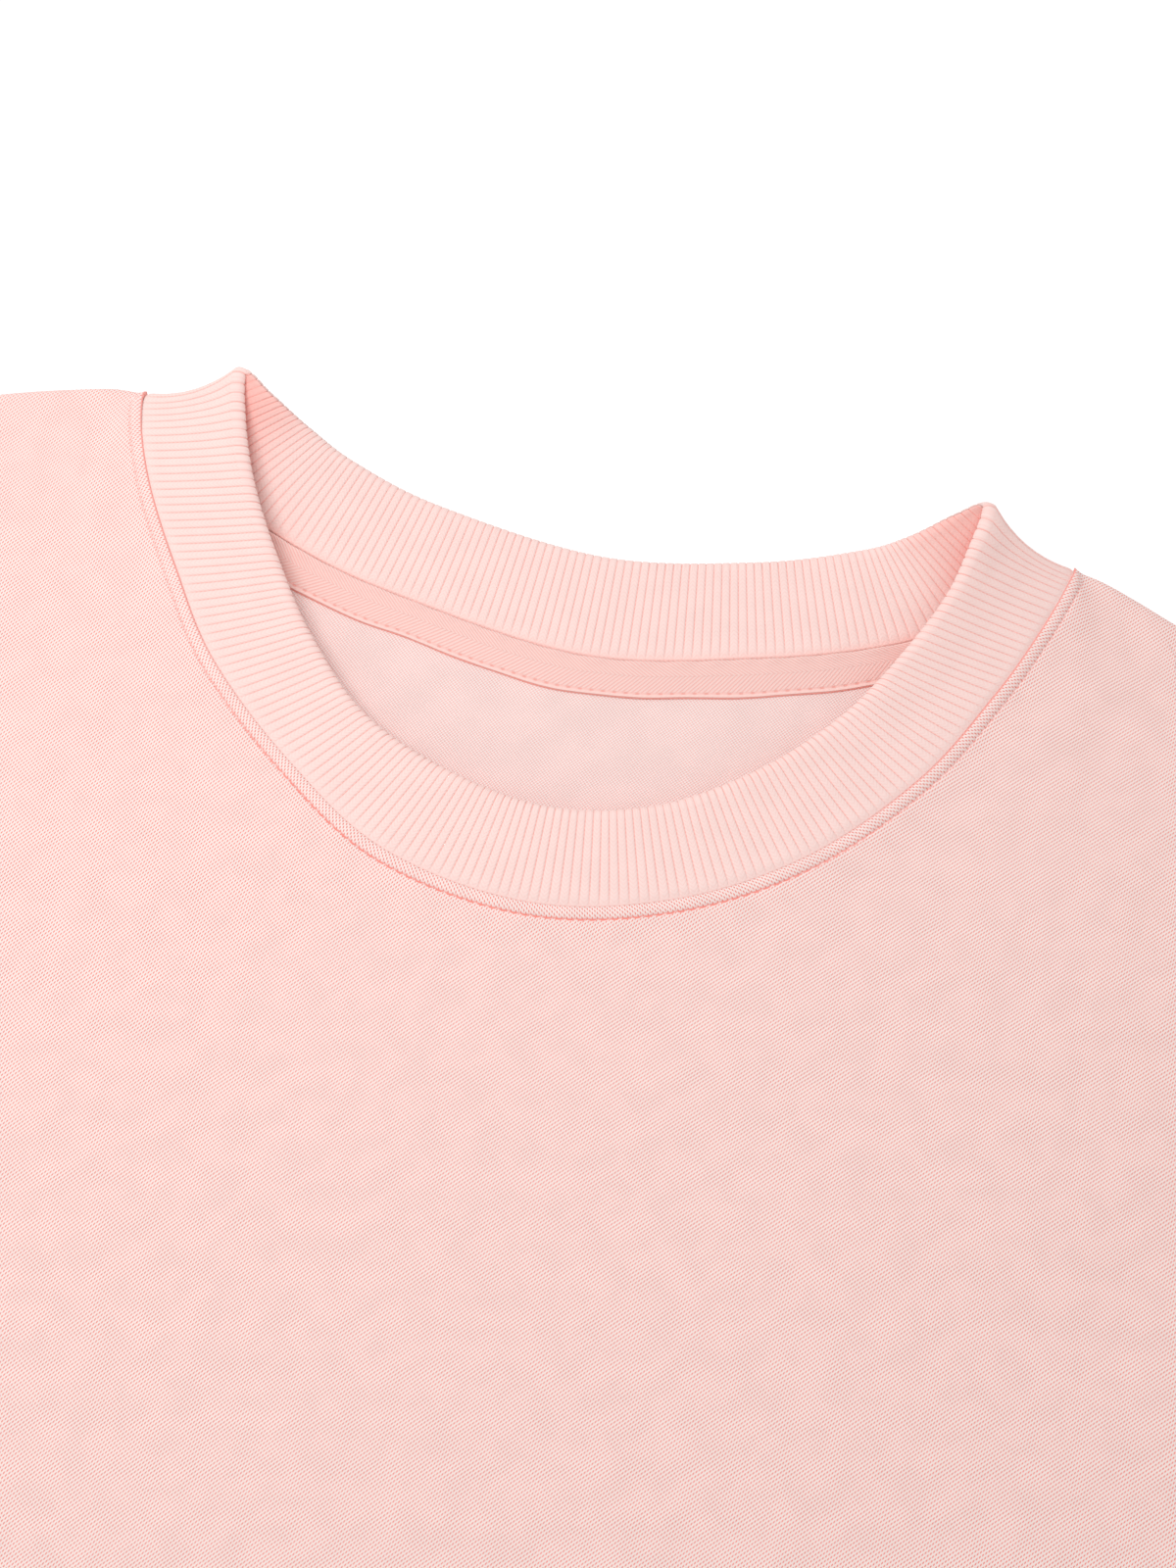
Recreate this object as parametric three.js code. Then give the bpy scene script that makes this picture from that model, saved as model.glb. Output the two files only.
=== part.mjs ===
// A crewneck sweatshirt laid flat on its back: two body panels one on the
// other, sleeves and cuffs as flattened tubes, a ribbed hem band, a ribbed
// collar whose sides stand up a little, and a tape over the back neck seam.
//
// Everything is first placed in the neck's own plan: X to the wearer's left,
// Y towards the neck, Z up from the table, with the origin midway between the
// collar's two folded tips. The whole garment is moved at the end so that the
// origin is under the middle of its bounding box. Millimetres throughout.

import * as THREE from 'three';

// Cloth
const CLOTH = 1.8;            // fleece-backed knit, one layer
const BAND_CLOTH = 2.6;       // rib folded double, as in the cuffs and the hem
const COLLAR_HALF = 1.5;      // half the doubled rib of the collar
const AIR = 0.3;              // between layers that lie on each other
const SEAM_GAP = 0.3;         // between pieces that are sewn together
const CURVED_GAP = 0.5;       // the same across a curve cut in short straights
const CORNER_GAP = 1.4;       // where neck and shoulder seams meet at a fold
const RIB_PITCH = 2.3;        // 1x1 rib in the cuffs and the hem
const RIB_HEIGHT = 0.6;
const COLLAR_RIBS = 256;      // all round the collar

// Body
const SHOULDER_TIP = { x: 240, y: -53.6 };
const UNDERARM = { x: 278, y: -285 };
const HEM_Y = -590;
const HEM_HALF = 250;         // half the width at the hem seam
const BAND_HEIGHT = 65;
const BAND_TAPER = 4;         // the band is this much narrower a side at its edge

// Sleeves and cuffs
const SLEEVE_LENGTH = 540;    // along the upper fold, shoulder to cuff seam
const SLEEVE_DROP = THREE.MathUtils.degToRad(35);   // below horizontal
const SLEEVE_END = 112;       // flat width just above the cuff
const CUFF_SEAM = 92;         // flat width at the cuff seam
const CUFF_END = 86;
const CUFF_LENGTH = 62;

// Tape
const TAPE_WIDTH = 8;
const TAPE_CLOTH = 1.0;
const TAPE_LIFT = 1.2;        // seam allowance under the tape's upper edge

const table = (columns, rows) => rows.map((row) =>
  Object.fromEntries(columns.map((name, i) => [name, row[i]])));

// The collar's stations, from the centre front to the wearer's left, over the
// fold at that shoulder, round the back and home. seam is the middle of the
// rib where it is sewn on, edge is the middle at its folded top, and sag is
// how far the rib sinks inwards half way up.
const STATION_COLUMNS =
  ['seamX', 'seamY', 'seamZ', 'edgeX', 'edgeY', 'edgeZ', 'sag'];
const COLLAR_STATIONS = table(STATION_COLUMNS, [
  [2.0, -102.7, 4.6, 2.2, -81.5, 6.6, 0.2],
  [30.7, -96.4, 4.6, 24.0, -77.0, 6.6, 0.2],
  [55.5, -81.9, 4.6, 42.8, -65.4, 6.6, 0.3],
  [75.3, -60.3, 4.8, 58.0, -50.2, 7.2, 0.4],
  [87.6, -39.0, 5.2, 67.3, -35.8, 8.6, 0.6],
  [94.3, -24.2, 5.8, 73.3, -21.9, 11.2, 0.8],
  [98.2, -12.4, 5.9, 77.0, -11.0, 14.4, 1.6],
  [99.4, -6.2, 4.2, 79.3, -1.7, 16.9, 3.0],
  [94.5, -10.2, 1.9, 73.6, -3.2, 14.6, 2.4],
  [82.0, -20.5, 1.6, 64.6, -7.2, 9.0, 0.8],
  [64.0, -31.3, 1.5, 55.0, -10.6, 5.0, 0.3],
  [38.5, -39.6, 1.5, 34.0, -16.6, 2.0, 0],
  [2.0, -45.8, 1.5, 2.0, -21.4, 1.6, 0],
  [-38.5, -39.4, 1.5, -34.0, -16.9, 2.0, 0],
  [-62.0, -32.2, 1.5, -53.6, -10.6, 5.2, 0.3],
  [-80.5, -22.0, 1.6, -64.0, -6.2, 9.4, 0.8],
  [-94.5, -9.4, 1.9, -72.9, -2.3, 14.8, 1.8],
  [-100.6, -2.9, 4.2, -79.3, -0.3, 17.0, 2.2],
  [-99.3, -12.3, 5.9, -75.6, -11.0, 14.4, 1.4],
  [-94.0, -26.4, 5.8, -71.0, -24.0, 11.2, 0.6],
  [-84.9, -42.6, 5.2, -63.8, -38.4, 8.6, 0.5],
  [-72.6, -61.4, 4.8, -54.4, -52.8, 7.2, 0.4],
  [-52.2, -80.6, 4.6, -38.5, -67.0, 6.6, 0.3],
  [-28.5, -97.4, 4.6, -20.0, -77.4, 6.6, 0.2],
]);
const LEFT_FOLD = 7;          // stations where the collar folds at a shoulder
const RIGHT_FOLD = 17;
const STATIONS = COLLAR_STATIONS.length;
const TAPE_FROM = 8.5;        // the tape's ends, under the front of the collar
const TAPE_TO = 15.5;

// Shoulder seams between the collar and the shoulder tip. The wearer's left
// dips beside the neck and the right stays full.
const SHOULDERS = {
  left: table(['x', 'y'], [[122, -15.6], [180, -34]]),
  right: table(['x', 'y'], [[132, -9.0], [184, -27]]),
};
const ARMHOLE = table(['x', 'y'], [[232, -100], [229, -155], [234, -210], [249, -255]]);
const SIDE = table(['x', 'y'], [[276, -360], [275, -460], [273, -540], [268, -572]]);

// Where the grid lines of the cloth run: shares of the shoulder from the
// collar out, of the armhole from the shoulder down, and of the side seam from
// the underarm down. A sleeve has the armhole's lines too, so their edges
// match.
const SHOULDER_LINES = [0.07, 0.22, 0.44, 0.68, 0.89, 1];
const ARMHOLE_LINES = [0, 0.026, 0.075, 0.16, 0.31, 0.48, 0.66, 0.83, 0.95, 1];
const SIDE_LINES = [0.22, 0.46, 0.7, 0.9, 1];
const FRONT_NECK_LINES = 34;
const BACK_NECK_LINES = 24;
const TAPE_LINES = 30;

// Soft folds of the front and the sleeves: middle, direction in degrees,
// half length, half width and height, troughs below zero.
const FOLD_COLUMNS = ['x', 'y', 'angle', 'length', 'width', 'height'];
const FOLDS = table(FOLD_COLUMNS, [
  [182, -190, 62, 85, 20, 2.0],
  [-176, -208, 118, 95, 23, 1.7],
  [215, -262, 40, 60, 16, 1.5],
  [-222, -246, 137, 52, 15, 1.3],
  [96, -430, 80, 130, 26, 1.3],
  [-128, -402, 97, 150, 30, 1.6],
  [12, -520, 12, 100, 24, 1.1],
  [-205, -515, 66, 70, 20, 1.2],
  [214, -488, 108, 90, 22, 1.4],
  [330, -190, 128, 60, 17, 1.9],
  [402, -262, 160, 72, 18, 1.5],
  [468, -306, 112, 44, 14, 1.7],
  [560, -352, 146, 58, 15, 1.4],
  [-322, -206, 50, 66, 18, 1.7],
  [-420, -250, 22, 60, 17, 1.8],
  [-486, -330, 70, 42, 15, 1.5],
  [-566, -340, 33, 52, 14, 1.3],
]);
const PUFF = 0.9;             // how far a loose layer floats off the one below
const MAX_LIFT = 3.4;
const SEAM_REACH = 17;        // how far a seam's height carries into the panel

const ROUND = 4;              // parts of a half turn round a flattened edge

// Numbers

const lerp = THREE.MathUtils.lerp;
const smooth = (a, b, x) => THREE.MathUtils.smoothstep(x, a, b);

function catmull(p0, p1, p2, p3, f) {
  return 0.5 * (2 * p1 + (p2 - p0) * f + (2 * p0 - 5 * p1 + 4 * p2 - p3) * f * f
    + (3 * p1 - p0 - 3 * p2 + p3) * f * f * f);
}

// A closed smooth curve through every column of the stations, at s stations.
function station(s) {
  const i = Math.floor(s);
  const at = (k) => COLLAR_STATIONS[((i + k) % STATIONS + STATIONS) % STATIONS];
  return Object.fromEntries(STATION_COLUMNS.map((name) =>
    [name, catmull(at(-1)[name], at(0)[name], at(1)[name], at(2)[name], s - i)]));
}

const seamPoint = (s) => { const c = station(s); return new THREE.Vector3(c.seamX, c.seamY, c.seamZ); };
const edgePoint = (s) => { const c = station(s); return new THREE.Vector3(c.edgeX, c.edgeY, c.edgeZ); };

// count + 1 stations between two, spaced along the curve that at(s) gives:
// evenly, or closer towards the ends as closing goes from 0 to 1.
function spacedStations(at, from, to, count, closing = 0) {
  const FINE = 720;
  const lengths = [0];
  let last = at(from);
  for (let i = 1; i <= FINE; i++) {
    const next = at(lerp(from, to, i / FINE));
    lengths.push(lengths[i - 1] + next.distanceTo(last));
    last = next;
  }
  const result = [];
  let i = 0;
  for (let k = 0; k <= count; k++) {
    const even = k / count;
    const want = lengths[FINE] * lerp(even, (1 - Math.cos(Math.PI * even)) / 2, closing);
    while (i < FINE - 1 && lengths[i + 1] < want) i++;
    const share = (want - lengths[i]) / (lengths[i + 1] - lengths[i]);
    result.push(lerp(from, to, (i + share) / FINE));
  }
  return result;
}

// An open smooth curve in plan through the given points.
function planCurve(points) {
  return new THREE.SplineCurve(points.map((p) => new THREE.Vector2(p.x, p.y)));
}

// A point of the armhole on the wearer's left, on the straights between its
// grid lines.
const armholeCurve = planCurve([SHOULDER_TIP, ...ARMHOLE, UNDERARM]);
function armholePoint(share) {
  const last = ARMHOLE_LINES.length - 2;
  const i = Math.min(ARMHOLE_LINES.findLastIndex((line) => line <= share), last);
  const [from, to] = [ARMHOLE_LINES[i], ARMHOLE_LINES[i + 1]];
  return armholeCurve.getPointAt(from).lerp(armholeCurve.getPointAt(to),
    (share - from) / (to - from));
}

// Solids

// Positions and triangles as one outward-facing geometry.
function closedGeometry(points, triangles) {
  let volume = 0;
  for (const [a, b, c] of triangles) {
    volume += points[a].dot(new THREE.Vector3().crossVectors(points[b], points[c]));
  }
  const index = triangles.flatMap(([a, b, c]) => (volume > 0 ? [a, b, c] : [a, c, b]));
  const geometry = new THREE.BufferGeometry();
  geometry.setAttribute('position', new THREE.Float32BufferAttribute(
    points.flatMap((p) => [p.x, p.y, p.z]), 3));
  geometry.setIndex(index);
  geometry.computeVertexNormals();
  return geometry;
}

// A band of triangles between two closed rows of points, which may differ in
// number. shares say how far round each point is, from 0 up to 1.
function zip(low, lowShares, high, highShares) {
  const triangles = [];
  let i = 0;
  let j = 0;
  while (i < low.length || j < high.length) {
    const nextLow = i < low.length ? (lowShares[i + 1] ?? 1) : Infinity;
    const nextHigh = j < high.length ? (highShares[j + 1] ?? 1) : Infinity;
    const a = low[i % low.length];
    const b = high[j % high.length];
    if (nextLow <= nextHigh) triangles.push([a, low[++i % low.length], b]);
    else triangles.push([a, high[++j % high.length], b]);
  }
  return triangles;
}

// A solid from closed rows of points, each joined to the next and the last to
// the first. Every row is { points, shares }.
function hoopSolid(rows) {
  const points = rows.flatMap((row) => row.points);
  let start = 0;
  const indices = rows.map((row) => row.points.map(() => start++));
  const triangles = rows.flatMap((row, r) => {
    const next = (r + 1) % rows.length;
    return zip(indices[r], row.shares, indices[next], rows[next].shares);
  });
  return closedGeometry(points, triangles);
}

// A slab between two grids of points of the same size, [row][column].
function slabSolid(top, bottom) {
  const rows = top.length;
  const columns = top[0].length;
  const points = [...top.flat(), ...bottom.flat()];
  const under = rows * columns;
  const id = (r, c) => r * columns + c;
  const triangles = [];
  for (let r = 0; r < rows - 1; r++) {
    for (let c = 0; c < columns - 1; c++) {
      const [a, b, d, e] = [id(r, c), id(r, c + 1), id(r + 1, c), id(r + 1, c + 1)];
      triangles.push([a, d, b], [b, d, e]);
      triangles.push([under + a, under + b, under + d], [under + b, under + e, under + d]);
    }
  }
  const rim = [];
  for (let c = 0; c < columns - 1; c++) rim.push(id(0, c));
  for (let r = 0; r < rows - 1; r++) rim.push(id(r, columns - 1));
  for (let c = columns - 1; c > 0; c--) rim.push(id(rows - 1, c));
  for (let r = rows - 1; r > 0; r--) rim.push(id(r, 0));
  rim.forEach((a, k) => {
    const b = rim[(k + 1) % rim.length];
    triangles.push([a, b, under + a], [b, under + b, under + a]);
  });
  return closedGeometry(points, triangles);
}

// Height of a loose layer over the one below, in plan.
function foldLift(x, y) {
  let lift = PUFF;
  for (const fold of FOLDS) {
    const angle = THREE.MathUtils.degToRad(fold.angle);
    const dx = x - fold.x;
    const dy = y - fold.y;
    const along = (dx * Math.cos(angle) + dy * Math.sin(angle)) / fold.length;
    const over = (dy * Math.cos(angle) - dx * Math.sin(angle)) / fold.width;
    lift += fold.height * Math.exp(-along * along - over * over);
  }
  return THREE.MathUtils.clamp(lift, 0, MAX_LIFT);
}

// Body panels

// The panel's plan is stretched between its four sides: across the top with
// the shoulders and the neck, down both sides with armhole and side seam, and
// along the hem.
function sidePoints() {
  const side = planCurve([UNDERARM, ...SIDE, { x: HEM_HALF, y: HEM_Y + SEAM_GAP }]);
  return [
    ...ARMHOLE_LINES.map((share) => armholePoint(share)),
    ...SIDE_LINES.map((share) => side.getPointAt(share)),
  ];
}

// Points along the top of a panel, from the wearer's right to the left, each
// with how high the seam holds it.
function topRow(neckStations) {
  const neck = neckStations.map((s, i) => {
    const seam = seamPoint(s);
    const out = seam.clone().sub(edgePoint(s)).setZ(0).normalize();
    const corner = i === 0 || i === neckStations.length - 1;
    const gap = corner ? CORNER_GAP : CURVED_GAP;
    return { x: seam.x + gap * out.x, y: seam.y + gap * out.y, seamZ: seam.z };
  });
  const shoulder = (corner, points, sign) => {
    const curve = planCurve([corner, ...points.map((p) => ({ x: sign * p.x, y: p.y })),
      { x: sign * SHOULDER_TIP.x, y: SHOULDER_TIP.y }]);
    return SHOULDER_LINES.map((share) => {
      const p = curve.getPointAt(share);
      return { x: p.x, y: p.y, seamZ: lerp(corner.seamZ, 2 * CLOTH + AIR / 2 - CLOTH / 2, Math.sqrt(share)) };
    });
  };
  return [
    ...shoulder(neck[0], SHOULDERS.right, -1).reverse(),
    ...neck,
    ...shoulder(neck[neck.length - 1], SHOULDERS.left, 1),
  ];
}

// Calls make(x, y, { u, v }) over the panel's grid, with u across and v down.
function panelGrid(top, make) {
  const half = SHOULDER_TIP.x;
  const hemY = HEM_Y + SEAM_GAP;
  return sidePoints().map((side) => {
    const v = (SHOULDER_TIP.y - side.y) / (SHOULDER_TIP.y - hemY);
    const width = side.x / lerp(half, HEM_HALF, v);
    return top.map((point) => {
      const u = (point.x + half) / (2 * half);
      const x = width * lerp(point.x, point.x / half * HEM_HALF, v);
      const y = side.y + (point.y - SHOULDER_TIP.y) * (1 - v);
      return make(x, y, { u, v });
    });
  });
}

// The nearest place of a panel's top row: how far away it is and how high the
// seam is there.
function nearestSeam(top, x, y) {
  const place = new THREE.Vector2(x, y);
  let nearest = { distance: Infinity, seamZ: 0 };
  for (let i = 1; i < top.length; i++) {
    const [a, b] = [top[i - 1], top[i]];
    const along = new THREE.Vector2(b.x - a.x, b.y - a.y);
    const share = THREE.MathUtils.clamp(
      ((x - a.x) * along.x + (y - a.y) * along.y) / along.lengthSq(), 0, 1);
    const distance = place.distanceTo(along.multiplyScalar(share).add(a));
    if (distance < nearest.distance) nearest = { distance, seamZ: lerp(a.seamZ, b.seamZ, share) };
  }
  return nearest;
}

// How far inside the panel's sewn sides and hem a grid point is, 0 to 1.
const inside = (u, v) => smooth(0, 0.07, u) * smooth(0, 0.07, 1 - u) * smooth(0, 0.05, 1 - v);

function frontBody() {
  const top = topRow(spacedStations(seamPoint, RIGHT_FOLD, LEFT_FOLD + STATIONS, FRONT_NECK_LINES, 0.4));
  const floor = CLOTH + AIR;
  const under = panelGrid(top, (x, y, { u, v }) => {
    const { distance, seamZ } = nearestSeam(top, x, y);
    const held = Math.max(seamZ - CLOTH / 2 - floor, 0) * Math.exp(-((distance / SEAM_REACH) ** 2));
    const loose = foldLift(x, y) * inside(u, v) * smooth(2, 40, distance);
    const bloused = 1.1 * smooth(0.93, 1, v);
    return new THREE.Vector3(x, y, floor + held + loose + bloused);
  });
  const over = under.map((row) => row.map((p) => p.clone().setZ(p.z + CLOTH)));
  return slabSolid(over, under);
}

function backBody() {
  const top = topRow(spacedStations(seamPoint, RIGHT_FOLD, LEFT_FOLD, BACK_NECK_LINES, 0.4));
  const under = panelGrid(top, (x, y) => new THREE.Vector3(x, y, 0));
  const over = under.map((row) => row.map((p) => p.clone().setZ(CLOTH)));
  return slabSolid(over, under);
}

// Collar

// The middle of the rib at station s, t of the way up from seam to edge.
function collarMiddle(s, t) {
  const c = station(s);
  const p = new THREE.Vector3(lerp(c.seamX, c.edgeX, t), lerp(c.seamY, c.edgeY, t),
    lerp(c.seamZ, c.edgeZ, t));
  return p.addScaledVector(collarNormal(s), -c.sag * 4 * t * (1 - t));
}

// The direction out of the garment, square to the rib.
function collarNormal(s) {
  const STEP = 0.02;
  const middle = (k) => seamPoint(k).add(edgePoint(k));
  const along = middle(s + STEP).sub(middle(s - STEP));
  const up = edgePoint(s).sub(seamPoint(s));
  return along.cross(up).normalize();
}

// Slides a point of the sewn edge along the rib until it is plumb over the
// seam, because the body's cut edge stands upright there.
function cutUpright(p, s) {
  const seam = seamPoint(s);
  const up = edgePoint(s).sub(seam).normalize();
  const inward = up.clone().setZ(0);
  return p.addScaledVector(up, -p.clone().sub(seam).dot(inward) / inward.lengthSq());
}

// Rows up the outer face, over the folded edge and down the inner face. side
// is 1 on the outer face, 0 on the fold and -1 inside.
const COLLAR_ROWS = table(['side', 'fromSeam', 'fromEdge'], [
  [1, 0, null],
  [1, 11, null],
  [1, null, 1.5],
  [0, null, -0.6],
  [-1, null, 1.5],
  [-1, 0, null],
]);

function collar() {
  const middles = (s) => seamPoint(s).add(edgePoint(s)).multiplyScalar(0.5);
  const columns = 2 * COLLAR_RIBS;
  const stations = spacedStations(middles, 0, STATIONS, columns).slice(0, columns);
  const shares = stations.map((_, k) => k / columns);
  const rows = COLLAR_ROWS.map((row) => ({
    shares,
    points: stations.map((s, k) => {
      const height = seamPoint(s).distanceTo(edgePoint(s));
      const t = row.fromSeam === null ? 1 - row.fromEdge / height : row.fromSeam / height;
      const middle = collarMiddle(s, t);
      const crest = k % 2 === 0 ? RIB_HEIGHT / 2 : -RIB_HEIGHT / 2;
      // The outer face rests on the table round the back, and is plain there.
      const lying = row.side > 0 ? 1 - smooth(1.6, 5, middle.z) : 0;
      const facesDown = row.side > 0 && collarNormal(s).z < 0;
      const ribs = facesDown ? crest * (1 - lying) : crest;
      const p = middle.clone().addScaledVector(collarNormal(s), row.side * (COLLAR_HALF + ribs));
      if (row.side === 0) p.z += crest / 2;
      if (row.fromSeam === 0) cutUpright(p, s);
      return p.setZ(Math.max(p.z, 0));
    }),
  }));
  return hoopSolid(rows);
}

// Neck tape, lying on the back panel's inside with its upper edge on the seam

function neckTape() {
  const stations = spacedStations(seamPoint, TAPE_FROM, TAPE_TO, TAPE_LINES);
  const rows = [0, 0.5, 1].map((w) => stations.map((s) => {
    const seam = seamPoint(s);
    const out = seam.clone().sub(edgePoint(s)).setZ(0).normalize();
    const reach = 1.25 * CURVED_GAP + w * TAPE_WIDTH;
    return new THREE.Vector3(seam.x + out.x * reach, seam.y + out.y * reach, CLOTH + AIR);
  }));
  const over = rows.map((row, r) => row.map((p) =>
    p.clone().setZ(p.z + TAPE_CLOTH + TAPE_LIFT * (1 - r / 2) ** 2)));
  return slabSolid(over, rows);
}

// Flattened tubes

// One ring round a flattened tube, outside and inside. across(w) gives the
// plan point at w from 0 at one folded edge to 1 at the other; lift(w) is the
// air between the layers; lines are the values of w inside the layers, and
// topLines those of the face that shows where it has more.
function tubeRing({ across, cloth, lift, lines, topLines = lines, ribs = 0 }) {
  const width = across(0).distanceTo(across(1));
  const edgeHeight = 2 * cloth + AIR;
  const inset = edgeHeight / 2 / width;
  const wall = cloth / width;
  const at = (w, z) => { const p = across(w); return new THREE.Vector3(p.x, p.y, z); };
  const air = (w) => Math.max(lift(w), AIR);
  const TOP = 0.48;           // shares of the way round
  const EDGE = 0.02;
  const outer = { points: [], shares: [] };
  const inner = { points: [], shares: [] };
  const add = (row, point, share) => { row.points.push(point); row.shares.push(share); };
  // Round a folded edge, from the layer above to the one below on one side
  // and back up on the other.
  const edge = (w, outward, start) => {
    for (let i = 1; i < ROUND; i++) {
      const turn = Math.PI * i / ROUND;
      const z = edgeHeight / 2 * (1 + outward * Math.cos(turn));
      add(outer, at(w + outward * inset * Math.sin(turn), z), start + EDGE * i / ROUND);
    }
  };
  [inset, ...topLines, 1 - inset].forEach((w, i) => {
    const groove = i % 2 === 0 ? ribs : 0;
    add(outer, at(w, 2 * cloth + air(w) - groove), TOP * w);
  });
  edge(1 - inset, 1, TOP);
  [1 - inset, ...lines.toReversed(), inset].forEach((w) => {
    add(outer, at(w, 0), TOP + EDGE + TOP * (1 - w));
  });
  edge(inset, -1, 1 - EDGE);
  [wall, ...lines, 1 - wall].forEach((w) => add(inner, at(w, cloth + air(w)), TOP * w));
  [1 - wall, ...lines.toReversed(), wall].forEach((w) => {
    add(inner, at(w, cloth), TOP + EDGE + TOP * (1 - w));
  });
  return { outer, inner };
}

// A tube from rings, up the outside and back down the inside.
function tubeSolid(rings) {
  return hoopSolid([
    ...rings.map((ring) => ring.outer),
    ...rings.map((ring) => ring.inner).reverse(),
  ]);
}

const straight = (a, b) => (w) => new THREE.Vector2(lerp(a.x, b.x, w), lerp(a.y, b.y, w));

// A sleeve's rows: share of the way down, how far its upper and lower edges
// bow out, and how much it is gathered in.
const SLEEVE_ROWS = table(['down', 'upper', 'lower', 'gather'], [
  [0, 0, 0, 0],
  [0.05, 1, 1, 0],
  [0.14, 4, 2, 0],
  [0.26, 7, -1, 0],
  [0.38, 8, -3, 0],
  [0.5, 7, 1, 0],
  [0.62, 5, 4, 0],
  [0.74, 3, 2, 0],
  [0.86, 3, 2, 0],
  [0.94, 2, 2, 0],
  [0.98, 0, 0, 10],
  [1, 0, 0, 20],
]);

function sleeve(sign) {
  const away = new THREE.Vector2(Math.cos(SLEEVE_DROP), -Math.sin(SLEEVE_DROP));
  const inward = new THREE.Vector2(away.y, -away.x);
  const cuffTop = new THREE.Vector2(SHOULDER_TIP.x, SHOULDER_TIP.y)
    .addScaledVector(away, SLEEVE_LENGTH);
  const rings = SLEEVE_ROWS.map((row) => {
    const across = (w) => {
      const near = armholePoint(w).add(new THREE.Vector2(CURVED_GAP, 0));
      const far = cuffTop.clone().addScaledVector(inward, w * SLEEVE_END);
      const p = near.lerp(far, row.down);
      const bow = lerp(-row.upper, row.lower, w);
      const gather = row.gather * (0.5 - w);
      p.addScaledVector(inward, bow + gather);
      return new THREE.Vector2(sign * p.x, p.y);
    };
    const free = smooth(0, 0.08, row.down) * smooth(0, 0.03, 1 - row.down);
    const lift = (w) => {
      const p = across(w);
      return AIR + free * foldLift(p.x, p.y) * smooth(0, 0.16, w) * smooth(0, 0.16, 1 - w)
        + 0.9 * smooth(0.9, 1, row.down);
    };
    return tubeRing({ across, cloth: CLOTH, lift, lines: ARMHOLE_LINES.slice(1, -1) });
  });
  return tubeSolid(rings);
}

// Ribbed bands: the ribs run along the tube on the face that shows.
function band(seamA, seamB, edgeA, edgeB) {
  const halves = 2 * Math.round(seamA.distanceTo(seamB) / RIB_PITCH);
  const inside = (count) => Array.from({ length: count - 1 }, (_, i) => (i + 1) / count);
  const ring = (a, b) => tubeRing({
    across: straight(a, b),
    cloth: BAND_CLOTH,
    lift: () => AIR,
    lines: inside(8),
    topLines: inside(halves),
    ribs: RIB_HEIGHT,
  });
  return tubeSolid([ring(seamA, seamB), ring(edgeA, edgeB)]);
}

function cuff(sign) {
  const away = new THREE.Vector2(Math.cos(SLEEVE_DROP), -Math.sin(SLEEVE_DROP));
  const inward = new THREE.Vector2(away.y, -away.x);
  const middle = new THREE.Vector2(SHOULDER_TIP.x, SHOULDER_TIP.y)
    .addScaledVector(away, SLEEVE_LENGTH + SEAM_GAP)
    .addScaledVector(inward, SLEEVE_END / 2);
  const corner = (down, over) => {
    const p = middle.clone().addScaledVector(away, down).addScaledVector(inward, over);
    return new THREE.Vector2(sign * p.x, p.y);
  };
  return band(corner(0, -CUFF_SEAM / 2), corner(0, CUFF_SEAM / 2),
    corner(CUFF_LENGTH, -CUFF_END / 2), corner(CUFF_LENGTH, CUFF_END / 2));
}

function hemBand() {
  const edgeHalf = HEM_HALF - BAND_TAPER;
  const edgeY = HEM_Y - BAND_HEIGHT;
  return band(new THREE.Vector2(-HEM_HALF, HEM_Y), new THREE.Vector2(HEM_HALF, HEM_Y),
    new THREE.Vector2(-edgeHalf, edgeY), new THREE.Vector2(edgeHalf, edgeY));
}

// The garment

const knit = () => new THREE.MeshStandardMaterial({ color: 0xf9d6cf, roughness: 0.95, metalness: 0 });
const rib = () => new THREE.MeshStandardMaterial({ color: 0xfaddd8, roughness: 0.95, metalness: 0 });
const twill = () => new THREE.MeshStandardMaterial({ color: 0xf9cfc9, roughness: 0.9, metalness: 0 });

const PIECES = [
  { name: 'front_body', geometry: frontBody(), material: knit() },
  { name: 'back_body', geometry: backBody(), material: knit() },
  { name: 'sleeve_left', geometry: sleeve(1), material: knit() },
  { name: 'sleeve_right', geometry: sleeve(-1), material: knit() },
  { name: 'cuff_left', geometry: cuff(1), material: rib() },
  { name: 'cuff_right', geometry: cuff(-1), material: rib() },
  { name: 'hem_band', geometry: hemBand(), material: rib() },
  { name: 'collar', geometry: collar(), material: rib() },
  { name: 'neck_tape', geometry: neckTape(), material: twill() },
];

const group = new THREE.Group();
for (const { name, geometry, material } of PIECES) {
  const mesh = new THREE.Mesh(geometry, material);
  mesh.name = name;
  group.add(mesh);
}

// Origin under the middle of the bounding box.
const box = new THREE.Box3().setFromObject(group);
const centre = box.getCenter(new THREE.Vector3());
group.position.set(-centre.x, -centre.y, -box.min.z);
group.updateMatrixWorld(true);

export default group;
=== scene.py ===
"""A crewneck sweatshirt laid flat on its back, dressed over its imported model.

Shapes are worked out in the neck's own plan, in millimetres: X to the wearer's
left, Y towards the neck, Z up from the table, with the origin midway between
the collar's two folded tips. in_row_frame() takes them to the model's frame.
"""

import math

import bmesh
import bpy
import numpy as np
from mathutils import Matrix, Vector


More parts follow.
